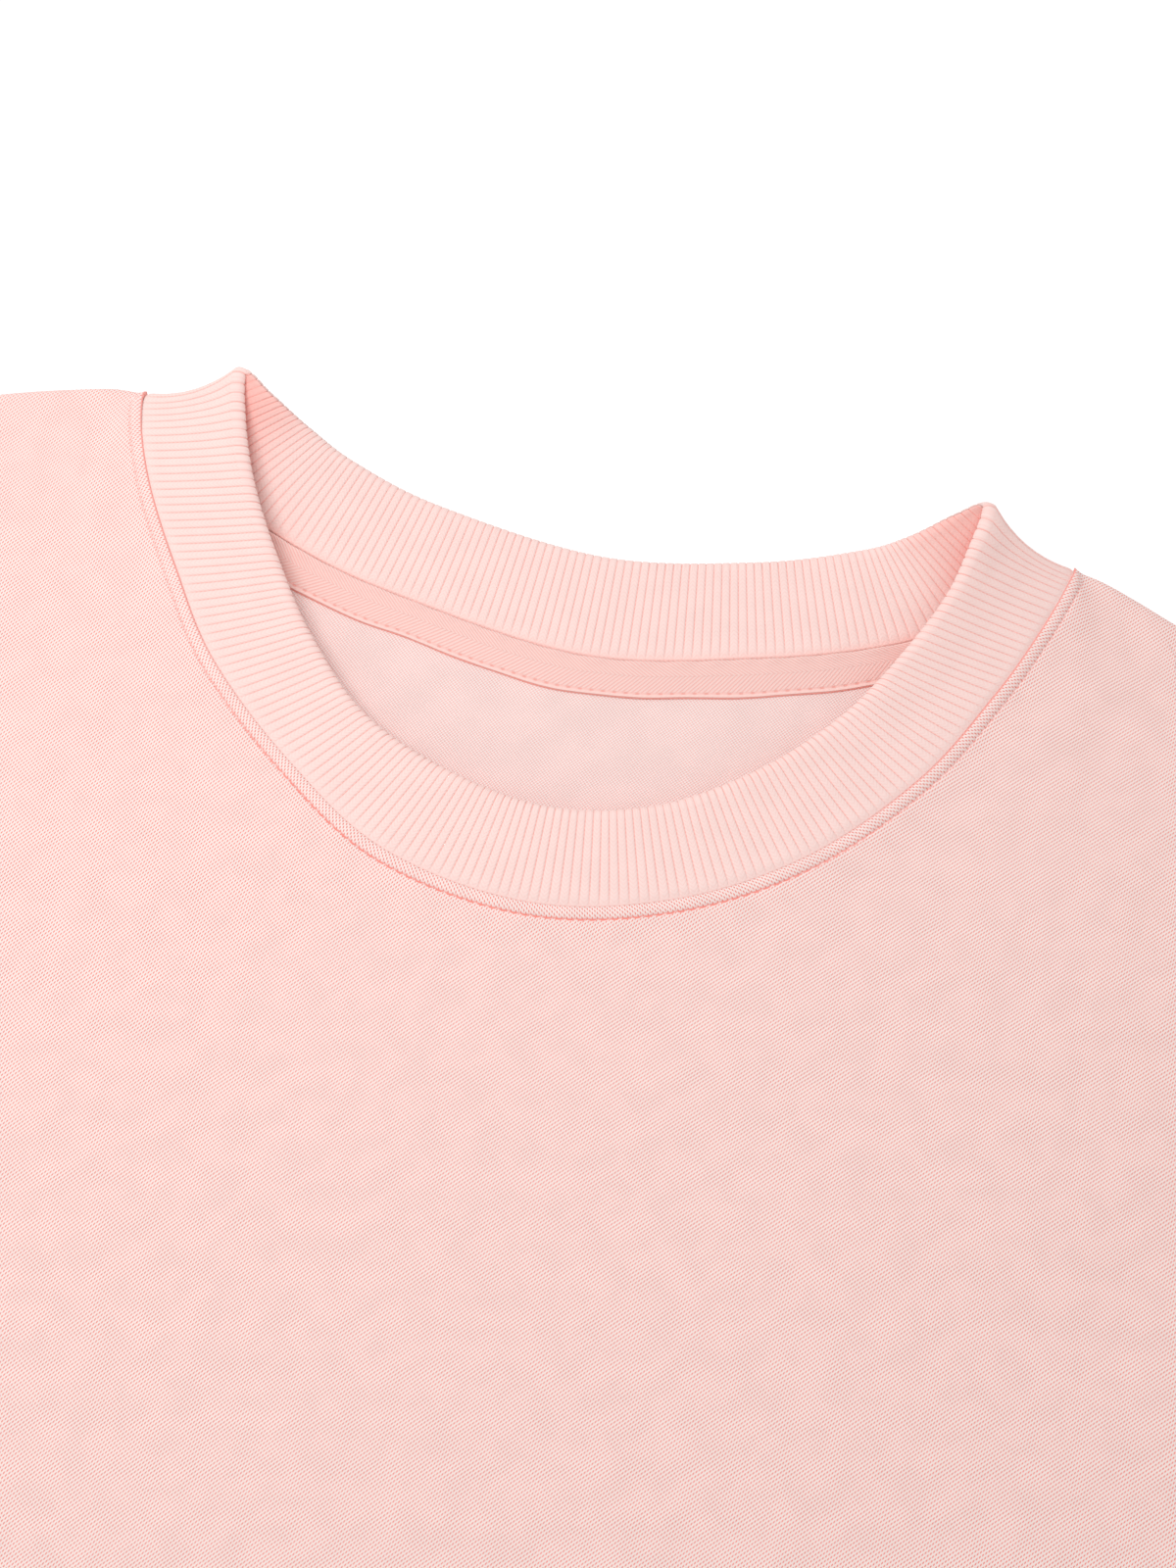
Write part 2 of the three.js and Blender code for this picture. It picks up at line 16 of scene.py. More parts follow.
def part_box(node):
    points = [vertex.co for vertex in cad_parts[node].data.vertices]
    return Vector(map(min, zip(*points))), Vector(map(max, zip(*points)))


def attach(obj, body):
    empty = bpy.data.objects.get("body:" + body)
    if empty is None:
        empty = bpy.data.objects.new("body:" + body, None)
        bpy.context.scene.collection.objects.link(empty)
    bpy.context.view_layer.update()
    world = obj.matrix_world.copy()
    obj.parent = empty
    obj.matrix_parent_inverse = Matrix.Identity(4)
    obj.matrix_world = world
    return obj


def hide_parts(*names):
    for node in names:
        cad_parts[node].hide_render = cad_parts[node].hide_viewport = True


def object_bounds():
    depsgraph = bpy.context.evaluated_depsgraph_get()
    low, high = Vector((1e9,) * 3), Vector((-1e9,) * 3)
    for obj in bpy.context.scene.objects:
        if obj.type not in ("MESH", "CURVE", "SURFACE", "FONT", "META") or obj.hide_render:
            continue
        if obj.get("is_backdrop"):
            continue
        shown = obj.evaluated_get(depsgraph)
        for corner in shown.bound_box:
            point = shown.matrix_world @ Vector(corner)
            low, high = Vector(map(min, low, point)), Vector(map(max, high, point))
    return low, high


bl_info = {
    "name": "Crewneck Sweatshirt",
    "version": (1, 0, 0),
    "blender": (4, 5, 0),
    "location": "View3D > Sidebar > Sweatshirt",
    "description": "Dresses a crewneck sweatshirt laid flat: knit, ribs, tape and stitching",
    "category": "Mesh",
}

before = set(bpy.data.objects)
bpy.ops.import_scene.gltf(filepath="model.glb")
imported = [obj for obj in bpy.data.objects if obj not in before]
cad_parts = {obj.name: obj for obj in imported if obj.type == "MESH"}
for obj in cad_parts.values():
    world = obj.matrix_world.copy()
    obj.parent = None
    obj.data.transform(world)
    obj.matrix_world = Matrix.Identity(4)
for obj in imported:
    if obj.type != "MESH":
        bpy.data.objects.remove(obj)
CAD_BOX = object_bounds()

MM = 0.001

# Cloth
CLOTH = 1.8                  # fleece-backed knit, one layer
BAND_CLOTH = 2.6             # rib folded double, as in the cuffs and the hem
COLLAR_HALF = 1.5            # half the doubled rib of the collar
AIR = 0.3                    # between layers that lie on each other
SEAM_GAP = 0.3               # between pieces that are sewn together
NECK_GAP = 0.03              # between collar and body, where the seam is drawn tight
CORNER_PROUD = 1.7           # how far the body's corners stand past the collar's folds
RIB_PITCH = 2.3
RIB_HEIGHT = 0.6
COLLAR_RIBS = 256
COLLAR_HIGH = 23             # from its seam to its top
RIB_COURSE = 0.9             # height of one row of rib stitches

# Body, as in the solids
SHOULDER_TIP = (240, -53.6)
UNDERARM = (278, -285)
HEM_Y = -590
HEM_HALF = 250
BAND_HEIGHT = 65
BAND_TAPER = 4
SLEEVE_LENGTH = 540
SLEEVE_DROP = math.radians(35)
SLEEVE_END = 112
CUFF_SEAM = 92
CUFF_END = 86
CUFF_LENGTH = 62
TAPE_WIDTH = 8
TAPE_CLOTH = 1.0
TAPE_LIFT = 1.2
TAPE_CHEVRON = 3.4           # where its slanting ribs meet, from the seam
TAPE_STITCHES = 6.92         # where its lower edge is sewn down, from the seam
TAPE_STITCH = 2.3
PUFF = 0.9
MAX_LIFT = 3.4
SEAM_REACH = 17

# The collar's stations from the centre front to the wearer's left, over the
# fold at that shoulder, round the back and home: the middle of the rib where it
# is sewn on, its middle at the folded top, and how far it sinks half way up.
COLLAR_STATIONS = np.array([
    # seamX, seamY, seamZ, edgeX, edgeY, edgeZ, sag
    (2.0, -101.6, 4.6, 2.2, -81.5, 6.6, 0.2),
    (30.7, -95.5, 4.6, 24.0, -77.0, 6.6, 0.2),
    (55.5, -81.3, 4.6, 42.8, -65.4, 6.6, 0.3),
    (75.3, -60.3, 4.8, 58.0, -50.2, 7.2, 0.4),
    (87.6, -39.0, 5.2, 67.3, -35.8, 8.6, 0.6),
    (94.3, -24.2, 5.8, 74.6, -21.9, 11.2, 0.8),
    (98.2, -13.4, 5.9, 77.8, -11.2, 14.4, 1.6),
    (99.4, -8.0, 4.2, 79.3, -1.5, 16.9, 2.6),
    (94.5, -11.4, 1.9, 73.6, -3.9, 14.6, 1.6),
    (82.0, -20.5, 1.6, 64.6, -8.5, 9.0, 0.8),
    (64.0, -30.3, 1.5, 55.0, -11.8, 5.0, 0.3),
    (38.5, -38.2, 1.5, 34.0, -17.2, 2.0, 0),
    (2.0, -44.5, 1.5, 2.0, -21.9, 1.6, 0),
    (-38.5, -38.3, 1.5, -34.0, -17.0, 2.0, 0),
    (-62.0, -31.4, 1.5, -53.6, -11.8, 5.2, 0.3),
    (-80.5, -22.0, 1.6, -64.0, -7.7, 9.4, 0.8),
    (-94.5, -10.4, 1.9, -72.9, -3.7, 14.8, 1.2),
    (-100.6, -4.5, 4.2, -79.3, -0.3, 17.0, 2.4),
    (-99.3, -13.0, 5.9, -77.4, -11.0, 14.4, 1.6),
    (-94.0, -26.4, 5.8, -72.4, -24.0, 11.2, 0.6),
    (-84.9, -42.6, 5.2, -64.2, -38.4, 8.6, 0.5),
    (-72.6, -61.4, 4.8, -54.4, -52.8, 7.2, 0.4),
    (-52.2, -80.6, 4.6, -39.5, -68.2, 6.6, 0.3),
    (-28.5, -96.1, 4.6, -20.0, -77.4, 6.6, 0.2),
])
STATIONS = len(COLLAR_STATIONS)
SAMPLES = 1441               # of a curve whose length is measured
LEFT_FOLD = 7
RIGHT_FOLD = 17
TAPE_FROM = 8.5
TAPE_TO = 15.5

LEFT_SHOULDER = [(106, -7.6), (114, -10.7), (126, -15.8), (144, -22.2), (170, -30.4), (202, -40.6),
                 SHOULDER_TIP]
RIGHT_SHOULDER = [(-108, -2.7), (-117, -4.5), (-129, -7.6), (-147, -13.3), (-171, -21.8), (-203, -35.0),
                  (-SHOULDER_TIP[0], SHOULDER_TIP[1])]
ARMHOLE = [SHOULDER_TIP, (232, -100), (229, -155), (234, -210), (249, -255), UNDERARM]
SIDE = [UNDERARM, (276, -360), (275, -460), (273, -540), (268, -572), (HEM_HALF, HEM_Y + SEAM_GAP)]

# Soft folds of the front and the sleeves, as in the solids: middle, direction
# in degrees, half length, half width and height.
FOLDS = [
    (182, -190, 62, 85, 20, 2.0),
    (-176, -208, 118, 95, 23, 1.7),
    (215, -262, 40, 60, 16, 1.5),
    (-222, -246, 137, 52, 15, 1.3),
    (96, -430, 80, 130, 26, 1.3),
    (-128, -402, 97, 150, 30, 1.6),
    (12, -520, 12, 100, 24, 1.1),
    (-205, -515, 66, 70, 20, 1.2),
    (214, -488, 108, 90, 22, 1.4),
    (330, -190, 128, 60, 17, 1.9),
    (402, -262, 160, 72, 18, 1.5),
    (468, -306, 112, 44, 14, 1.7),
    (560, -352, 146, 58, 15, 1.4),
    (-322, -206, 50, 66, 18, 1.7),
    (-420, -250, 22, 60, 17, 1.8),
    (-486, -330, 70, 42, 15, 1.5),
    (-566, -340, 33, 52, 14, 1.3),
]

# Finer creases over those folds, with the same columns. Troughs are below zero.
CREASES = [
    # Round the neck
    (-104, -18, -43, 11, 3.2, -0.7),
    (-123, -19, 12, 12, 4.5, -0.5),
    (-97, -30, -64, 22, 4.0, -0.45),
    (-109, -27, -60, 20, 5.0, 0.3),
    (88, -45, 66, 30, 7.5, -0.8),
    (103, -42, 62, 26, 7.0, 0.45),
    (118, -27, -48, 13, 6.0, -0.6),
    (112, -11, -30, 9, 3.5, 0.35),
    (76, -77, 14, 8, 3.5, -0.3),
    (-60, -122, -35, 46, 13, -0.25),
    (58, -140, 40, 55, 15, -0.3),
    # Shoulders and chest
    (-188, -52, -24, 40, 8, -0.6),
    (-205, -82, -72, 44, 9, 0.7),
    (176, -62, 24, 42, 9, -0.6),
    (206, -96, 76, 46, 9, 0.8),
    (152, -132, 54, 60, 12, -0.7),
    (-148, -150, 128, 64, 12, -0.6),
    (-30, -232, 8, 80, 17, 0.4),
    (70, -262, -14, 70, 15, -0.45),
    # Underarms
    (224, -232, 34, 46, 6, 1.0),
    (238, -272, 18, 40, 5, -0.9),
    (196, -300, 48, 60, 8, 0.9),
    (160, -262, 52, 56, 8, -0.8),
    (-228, -226, 146, 44, 6, 1.0),
    (-242, -266, 160, 38, 5, -0.9),
    (-200, -298, 131, 58, 8, 0.8),
    (-168, -254, 126, 54, 8, -0.7),
    # Waist
    (236, -372, 98, 60, 8, 0.8),
    (-238, -386, 84, 56, 8, 0.8),
    (150, -486, 66, 70, 11, -0.7),
    (52, -476, 96, 66, 10, 0.6),
    (-62, -500, 84, 62, 10, -0.6),
    (-172, -462, 76, 60, 9, 0.7),
    (-20, -372, 74, 90, 14, -0.5),
    (188, -420, 84, 60, 10, -0.6),
    (-116, -560, 100, 40, 7, 0.6),
    (112, -566, 82, 36, 7, 0.6),
    (240, -556, 70, 34, 7, -0.6),
    (-246, -552, 112, 34, 7, -0.6),
    # The wearer's left sleeve
    (288, -138, 130, 42, 7, 0.8),
    (302, -222, 20, 40, 8, -0.7),
    (366, -232, 150, 44, 8, 0.8),
    (392, -214, 138, 34, 6, -0.7),
    (436, -302, 132, 36, 6, 0.9),
    (452, -270, 122, 30, 6, -0.8),
    (512, -322, 150, 40, 7, 0.8),
    (536, -376, 136, 34, 6, -0.7),
    (598, -404, 150, 28, 5, 0.7),
    (620, -366, 140, 26, 5, -0.6),
    (642, -400, 132, 22, 4.5, 0.6),
    # The wearer's right sleeve
    (-280, -146, 44, 44, 7, 0.8),
    (-306, -226, 152, 40, 8, -0.7),
    (-352, -246, 40, 42, 8, 0.8),
    (-384, -206, 36, 36, 6, -0.7),
    (-446, -296, 42, 38, 6, 0.9),
    (-462, -262, 52, 30, 6, -0.8),
    (-520, -336, 30, 40, 7, 0.8),
    (-548, -392, 40, 32, 6, -0.7),
    (-604, -398, 28, 30, 5, 0.7),
    (-618, -362, 40, 24, 5, -0.6),
    (-646, -396, 48, 22, 4.5, 0.6),
]

# A sleeve's outline: share of the way down, how far its upper and lower edges
# bow out, and how much it is gathered in.
SLEEVE_ROWS = np.array([
    (0, 0, 0, 0),
    (0.05, 1, 1, 0),
    (0.14, 4, 2, 0),
    (0.26, 7, -1, 0),
    (0.38, 8, -3, 0),
    (0.5, 7, 1, 0),
    (0.62, 5, 4, 0),
    (0.74, 3, 2, 0),
    (0.86, 3, 2, 0),
    (0.94, 2, 2, 0),
    (0.98, 0, 0, 10),
    (1, 0, 0, 20),
])

NECK_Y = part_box("hem_band")[0].y / MM - (HEM_Y - BAND_HEIGHT)   # of the neck's origin, in the row


# Settings

def length(name, description, mm, low=0.0, high=1000.0):
    return bpy.props.FloatProperty(
        name=name, description=description, default=mm * MM, min=low * MM, max=high * MM,
        precision=5, unit="LENGTH", subtype="DISTANCE")


def colour(name, description, code):
    return bpy.props.FloatVectorProperty(
        name=name, description=description, default=linear(code)[:3], size=3,
        min=0.0, max=1.0, subtype="COLOR")


def linear(code):
    """An sRGB hex colour as the linear red, green, blue and alpha that shaders take."""
    parts = [int(code[i:i + 2], 16) / 255 for i in (0, 2, 4)]
    return tuple(p / 12.92 if p <= 0.04045 else ((p + 0.055) / 1.055) ** 2.4 for p in parts) + (1.0,)


class SweatshirtSizes(bpy.types.PropertyGroup):
    """Sizes of the cloth's finish"""
    stitch: length("Stitch", "Length of one stitch round the neck", 2.2, 1, 6)
    stitch_line: length("Stitch line", "How far the stitching lies outside the neck seam", 2.55, 1, 8)
    ridge: length("Seam ridge", "Height of the turned cloth between seam and stitching", 0.45, 0, 3)
    crease: bpy.props.FloatProperty(
        name="Creases", description="Depth of the fine creases", default=1.0, min=0.0, max=2.0,
        subtype="FACTOR")
    groove: bpy.props.FloatProperty(
        name="Rib groove", description="Width of a groove between ribs, as a share of the pitch",
        default=0.13, min=0.05, max=0.5, subtype="FACTOR")
    groove_depth: length("Groove depth", "Depth of a groove between ribs", 0.26, 0, 1)
    wale: length("Wale", "Width of one column of knit stitches", 1.0, 0.3, 5)
    course: length("Course", "Height of one row of knit stitches", 0.95, 0.3, 5)


class SweatshirtColours(bpy.types.PropertyGroup):
    """Colours of the cloth and the stage"""
    knit: colour("Knit", "Face of the sweatshirt knit", "ffe9e4")
    # Partly painted shade: the gaps between stitches take the cloth's pink, darkened for the shade in the
    # holes.
    knit_gap_and_shade: colour("Knit gaps", "Between the knit's stitches", "fb8f82")
    inside: colour("Inside", "Reverse of the knit", "ffede9")
    rib: colour("Rib", "Face of the ribs", "ffe0da")
    # Mostly painted shade: the grooves between ribs, coloured as their shade and the light through the pink
    # cloth make them look.
    rib_groove_shade: colour("Rib grooves", "Between the ribs", "ff9d8f")
    tape: colour("Tape", "Twill tape over the back neck seam", "ffd9d2")
    # Partly painted shade: the twill's grooves and a shadow line at the lower edge, along with the real
    # stitches.
    tape_line_and_shade: colour("Tape lines", "Between the tape's twill ribs", "fb9a8c")
    # Painted shade: the deep pink that light bounced between the cloth gives inside the collar's folds.
    fold: colour("Fold", "Deep in the collar's folds, where cloth reddens cloth", "ff8a78")
    floor: colour("Floor", "The table", "ffffff")


# Numbers

def lerp(a, b, share):
    return a + (b - a) * share


def smooth(low, high, x):
    share = np.clip((np.asarray(x, float) - low) / (high - low), 0, 1)
    return share * share * (3 - 2 * share)


def bell(x, width):
    return np.exp(-(x / width) ** 2)


def catmull(p0, p1, p2, p3, f):
    return 0.5 * (2 * p1 + (p2 - p0) * f + (2 * p0 - 5 * p1 + 4 * p2 - p3) * f ** 2
                  + (3 * p1 - p0 - 3 * p2 + p3) * f ** 3)


def unit(vectors):
    return vectors / np.linalg.norm(vectors, axis=-1, keepdims=True)


def along(points):
    """Distance along a row of points, from its start."""
    return np.concatenate([[0], np.cumsum(np.linalg.norm(np.diff(points, axis=0), axis=1))])


def station(s):
    """The collar's columns at s stations, on a closed smooth curve."""
    s = np.asarray(s, float)
    i = np.floor(s).astype(int)
    rows = [COLLAR_STATIONS[(i + k) % STATIONS] for k in (-1, 0, 1, 2)]
    return catmull(*rows, (s - i)[..., None])


def seam_point(s):
    return station(s)[..., :3]


def edge_point(s):
    return station(s)[..., 3:6]


def middle_point(s):
    return (seam_point(s) + edge_point(s)) / 2


def collar_normal(s):
    """The direction out of the garment, square to the rib."""
    step = 0.02
    way = middle_point(s + step) - middle_point(s - step)
    return unit(np.cross(way, edge_point(s) - seam_point(s)))


def spaced_stations(at, start, end, shares):
    """Stations at these shares of the length of the curve that at(s) gives."""
    fine = np.linspace(start, end, SAMPLES)
    length_so_far = along(at(fine))
    return np.interp(np.asarray(shares) * length_so_far[-1], length_so_far, fine)


def plan_curve(points, shares):
    """An open smooth curve in plan through the points, at these shares of its length."""
    points = np.array(points, float)
    last = len(points) - 1
    t = np.linspace(0, last, 120 * last + 1)
    i = np.minimum(t.astype(int), last - 1)
    rows = [points[np.clip(i + k, 0, last)] for k in (-1, 0, 1, 2)]
    curve = catmull(*rows, (t - i)[:, None])
    so_far = along(curve)
    want = np.asarray(shares) * so_far[-1]
    return np.stack([np.interp(want, so_far, curve[:, k]) for k in (0, 1)], axis=-1)


def fold_height(x, y, table):
    """Sum of the soft folds of a table, in plan."""
    height = np.zeros_like(x, dtype=float)
    for fold_x, fold_y, degrees, length_half, width, top in table:
        turn = math.radians(degrees)
        dx, dy = x - fold_x, y - fold_y
        lengthwise = (dx * math.cos(turn) + dy * math.sin(turn)) / length_half
        crosswise = (dy * math.cos(turn) - dx * math.sin(turn)) / width
        height += top * np.exp(-lengthwise ** 2 - crosswise ** 2)
    return height


def fold_lift(x, y):
    """Height of a loose layer over the one below, in plan."""
    return np.clip(PUFF + fold_height(x, y, FOLDS), 0, MAX_LIFT)


def graded(first, last, total):
    """Places from 0 to total, at steps that grow from first to last."""
    count = max(2, round(total / ((last - first) / math.log(last / first) if last != first else first)))
    steps = np.geomspace(first, last, count)
    return np.concatenate([[0], np.cumsum(steps)]) / steps.sum() * total


def in_row_frame(points):
    """Points of the neck's plan, in mm, as points of the model's frame, in metres."""
    return (points + [0, NECK_Y, 0]) * MM


# Cloth as meshes

def cloth_piece(name, columns, rows, place, finer=None):
    """A quad grid of that many columns and rows, bent to its form.

    place(i, j) gives each corner's point and its cloth coordinates, both in mm,
    and for some pieces how far each corner lies along the neck seam and from it.
    Corners that land together are merged, which closes rings and pinched edges.
    finer is the first and last column and the last row of a part whose columns
    are cut in four, and i then counts quarters of a column.
    """
    shaped = bmesh.new()
    bmesh.ops.create_grid(shaped, x_segments=columns, y_segments=rows, size=1)
    if finer:
        first, last, near = finer
        cuts = []
        for edge in shaped.edges:
            a, b = (corner.co for corner in edge.verts)
            i, j = (a.x + b.x + 2) / 4 * columns, (a.y + 1) / 2 * rows
            if abs(a.y - b.y) < 0.5 / rows and first < i < last and (j < near + 0.5 or j > rows - 0.5):
                cuts.append(edge)
        bmesh.ops.subdivide_edges(shaped, edges=cuts, cuts=3)
    mesh = bpy.data.meshes.new(name)
    shaped.to_mesh(mesh)
    flat = np.empty(len(mesh.vertices) * 3, np.float32)
    mesh.vertices.foreach_get("co", flat)
    flat = flat.reshape(-1, 3)
    low, high = flat.min(axis=0), flat.max(axis=0)
    i = np.rint((flat[:, 0] - low[0]) / (high[0] - low[0]) * columns * (4 if finer else 1)).astype(int)
    j = np.rint((flat[:, 1] - low[1]) / (high[1] - low[1]) * rows).astype(int)
    points, *layers = place(i, j)
    mesh.vertices.foreach_set("co", in_row_frame(points).astype(np.float32).ravel())
    corners = np.empty(len(mesh.loops), np.int32)
    mesh.loops.foreach_get("vertex_index", corners)
    for layer, values in zip(("cloth", "seam"), layers):
        mesh.uv_layers.new(name=layer).data.foreach_set("uv", values[corners].astype(np.float32).ravel())
    shaped.clear()
    shaped.from_mesh(mesh)
    bmesh.ops.remove_doubles(shaped, verts=shaped.verts, dist=0.004 * MM)
    bmesh.ops.recalc_face_normals(shaped, faces=shaped.faces)
    for face in shaped.faces:
        face.smooth = True
    shaped.to_mesh(mesh)
    shaped.free()
    piece = bpy.data.objects.new(name, mesh)
    bpy.context.scene.collection.objects.link(piece)
    return piece


def declare(piece, node, materials, with_pieces=()):
    """Dresses a cloth piece with its materials, hangs it and any fellow pieces on the root, and hides the
    solid it stands for.
    """
    for material in materials:
        piece.data.materials.append(material)
    for part in (piece, *with_pieces):
        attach(part, "root")
    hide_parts(node)


# Body panels

STRIP = 12.0                 # rows follow the seams this far into a panel
SIDE_ROUND = 1.9             # how far in a panel's sewn side rounds over
ARMHOLE_ROUND = 0.5
SHARE_LINE = np.linspace(0, 1, 400)
OUTLINE = np.concatenate([plan_curve(ARMHOLE, SHARE_LINE), plan_curve(SIDE, SHARE_LINE)[1:]])


def side_x(y):
    """Half the width of the body at y, from the armhole and the side seam."""
    return np.interp(-y, -OUTLINE[:, 1], OUTLINE[:, 0])


class TopEdge:
    """The top edge of a panel, from the wearer's right shoulder tip to the left one."""

    def __init__(self, start, end, neck_count, shoulder_step, corner_reach):
        shares = np.linspace(0, 1, neck_count + 1)
        neck_stations = spaced_stations(seam_point, start, end, shares)
        seam = seam_point(neck_stations)
        out = unit((seam - edge_point(neck_stations))[:, :2])
        neck_along = along(seam[:, :2])
        neck = seam[:, :2] + out * NECK_GAP
        for corner, sign in ((0, -1), (-1, 1)):
            proud = CORNER_PROUD * (1 - smooth(0, corner_reach, abs(neck_along - neck_along[corner])))
            neck += np.outer(proud, [0.2 * sign, 0.98])
        sides = [self.shoulder(neck[0], seam[0, 2], RIGHT_SHOULDER, shoulder_step),
                 self.shoulder(neck[-1], seam[-1, 2], LEFT_SHOULDER, shoulder_step)]
        (right, right_z), (left, left_z) = sides
        self.point = np.concatenate([right[::-1], neck, left])
        self.seam_z = np.concatenate([right_z[::-1], seam[:, 2], left_z])
        self.first_neck = len(right)
        self.last_neck = len(right) + neck_count
        self.count = len(self.point)
        self.along = along(self.point)
        self.toward = self.directions()
        self.middle = self.along[[self.first_neck, self.last_neck]].mean()

    @staticmethod
    def shoulder(corner, corner_z, points, step):
        """Points from beside the corner out to the tip, finer at both ends."""
        total = along(plan_curve([corner, *points], SHARE_LINE))[-1]
        half = graded(step, 4, total / 2)
        other = total - graded(0.5, 4, total / 2)[::-1]
        shares = np.concatenate([half[1:], other[1:]]) / total
        seam_z = lerp(corner_z, 1.5 * CLOTH + AIR / 2, np.sqrt(shares))
        return plan_curve([corner, *points], shares), seam_z

    def directions(self):
        """How each column leaves the edge."""
        parts = [slice(0, self.first_neck + 1), slice(self.first_neck, self.last_neck + 1),
                 slice(self.last_neck, self.count)]
        normal = np.zeros((self.count, 2))
        ends = []
        for part in parts:
            way = unit(np.gradient(self.point[part], axis=0))
            square = np.stack([way[:, 1], -way[:, 0]], axis=1)
            normal[part] = square
            ends.append((square[0], square[-1]))
        way_down = unit(plan_curve(ARMHOLE, [STRIP / along(plan_curve(ARMHOLE, SHARE_LINE))[-1]])
                        - plan_curve(ARMHOLE, [0]))[0]
        turns = [
            (0, way_down * [-1, 1], 40),
            (self.first_neck, unit(ends[0][1] + ends[1][0]), 48),
            (self.last_neck, unit(ends[1][1] + ends[2][0]), 48),
            (self.count - 1, way_down, 40),
        ]
        toward = normal.copy()
        for column, way, reach in turns:
            share = 1 - smooth(0, reach, abs(self.along - self.along[column]))
            toward = lerp(toward, np.array(way), share[:, None])
        toward = unit(toward)
        steepness = np.sum(toward * normal, axis=1)
        turning = np.max([1 - smooth(0, 1.2 * reach, abs(self.along - self.along[column]))
                          for column, _, reach in turns], axis=0)
        toward *= lerp(1 / np.maximum(steepness, 0.3), 1, turning)[:, None]
        # Columns must not cross further down, so their ends keep apart.
        end = self.point[:, 0] + toward[:, 0] * STRIP
        steps = np.maximum(np.diff(end), 0.12)
        apart = end[0] + np.concatenate([[0], np.cumsum(steps)]) * (end[-1] - end[0]) / steps.sum()
        toward[:, 0] += (apart - end) / STRIP
        return toward

    def plan(self, i, place):
        """Plan points of columns i: place is 0 at the edge, 1 at the end of the strip, 2 at the hem."""
        near = self.point[i] + self.toward[i] * (np.minimum(place, 1) * STRIP)[:, None]
        down = np.maximum(place - 1, 0)
        tip_x, tip_y = self.point[-1] + self.toward[-1] * STRIP
        side_y = lerp(tip_y, HEM_Y + SEAM_GAP, down)
        width = side_x(side_y) / lerp(tip_x, HEM_HALF, down)
        x = width * lerp(near[:, 0], near[:, 0] / tip_x * HEM_HALF, down)
        y = side_y + (near[:, 1] - tip_y) * (1 - down)
        inner = place <= 1
        return np.where(inner, near[:, 0], x), np.where(inner, near[:, 1], y)

    def from_side(self, i, x, y):
        """How far in from the armhole or the side seam."""
        inward = np.maximum(side_x(np.minimum(y, SHOULDER_TIP[1])) - abs(x), 0)
        return inward * ((i > 0) & (i < self.count - 1))

    def nearest(self, x, y):
        """How far each point is from the edge, how far along it, and the seam's height about there."""
        step = np.diff(self.point, axis=0)
        length = np.linalg.norm(step, axis=1)
        way = step / length[:, None]
        middle_z = (self.seam_z[1:] + self.seam_z[:-1]) / 2
        distance, place, height = np.empty((3, len(x)))
        for part in np.array_split(np.arange(len(x)), max(1, len(x) // 1000)):
            over = x[part, None] - self.point[:-1, 0], y[part, None] - self.point[:-1, 1]
            share = np.clip(over[0] * way[:, 0] + over[1] * way[:, 1], 0, length)
            gap = np.hypot(over[0] - share * way[:, 0], over[1] - share * way[:, 1])
            column, least = gap.argmin(axis=1), gap.min(axis=1)
            weight = length * np.exp((least[:, None] - gap) / (0.35 * least[:, None] + 0.05))
            distance[part] = least
            place[part] = self.along[column] + share[np.arange(len(part)), column]
            height[part] = weight @ middle_z / weight.sum(axis=1)
        return distance, place, height

    def from_corner(self, place):
        """How far along the edge from the nearer corner: above zero at the neck, below it at a shoulder."""
        return np.minimum(place - self.along[self.first_neck], self.along[self.last_neck] - place)


def rounding(distance, radius):
    """0 at a rounded edge, rising to 1 at radius from it."""
    share = np.clip(distance / radius, 0, 1)
    return np.sqrt(1 - (1 - share) ** 2)


def knit_coordinates(x, y):
    """Across the wales and along them. The knit hangs a little askew, and its courses bow."""
    across = x * math.cos(math.radians(4)) - y * math.sin(math.radians(4))
    up = y - 0.08 * x + 8 * np.log(np.cosh(x / 100))
    return np.stack([across, up], axis=-1)


NEAR_ROWS = np.array([0, 0.3, 0.7, 1.2, 1.7, 2.05, 2.3, 2.45, 2.6, 2.75, 2.95, 3.2, 3.8, 5, 7, 9.5, 12])


def panel_rows(step, last_step):
    """Row places down the upper face, back up the lower one and home, and which are above."""
    drop = SHOULDER_TIP[1] - HEM_Y - STRIP
    down = np.concatenate([NEAR_ROWS / STRIP, 1 + graded(step, last_step, drop)[1:] / drop])
    places = np.concatenate([down, down[::-1], down[:1]])
    is_top = np.arange(len(places)) < len(down)
    is_top[-1] = True
    return places, is_top


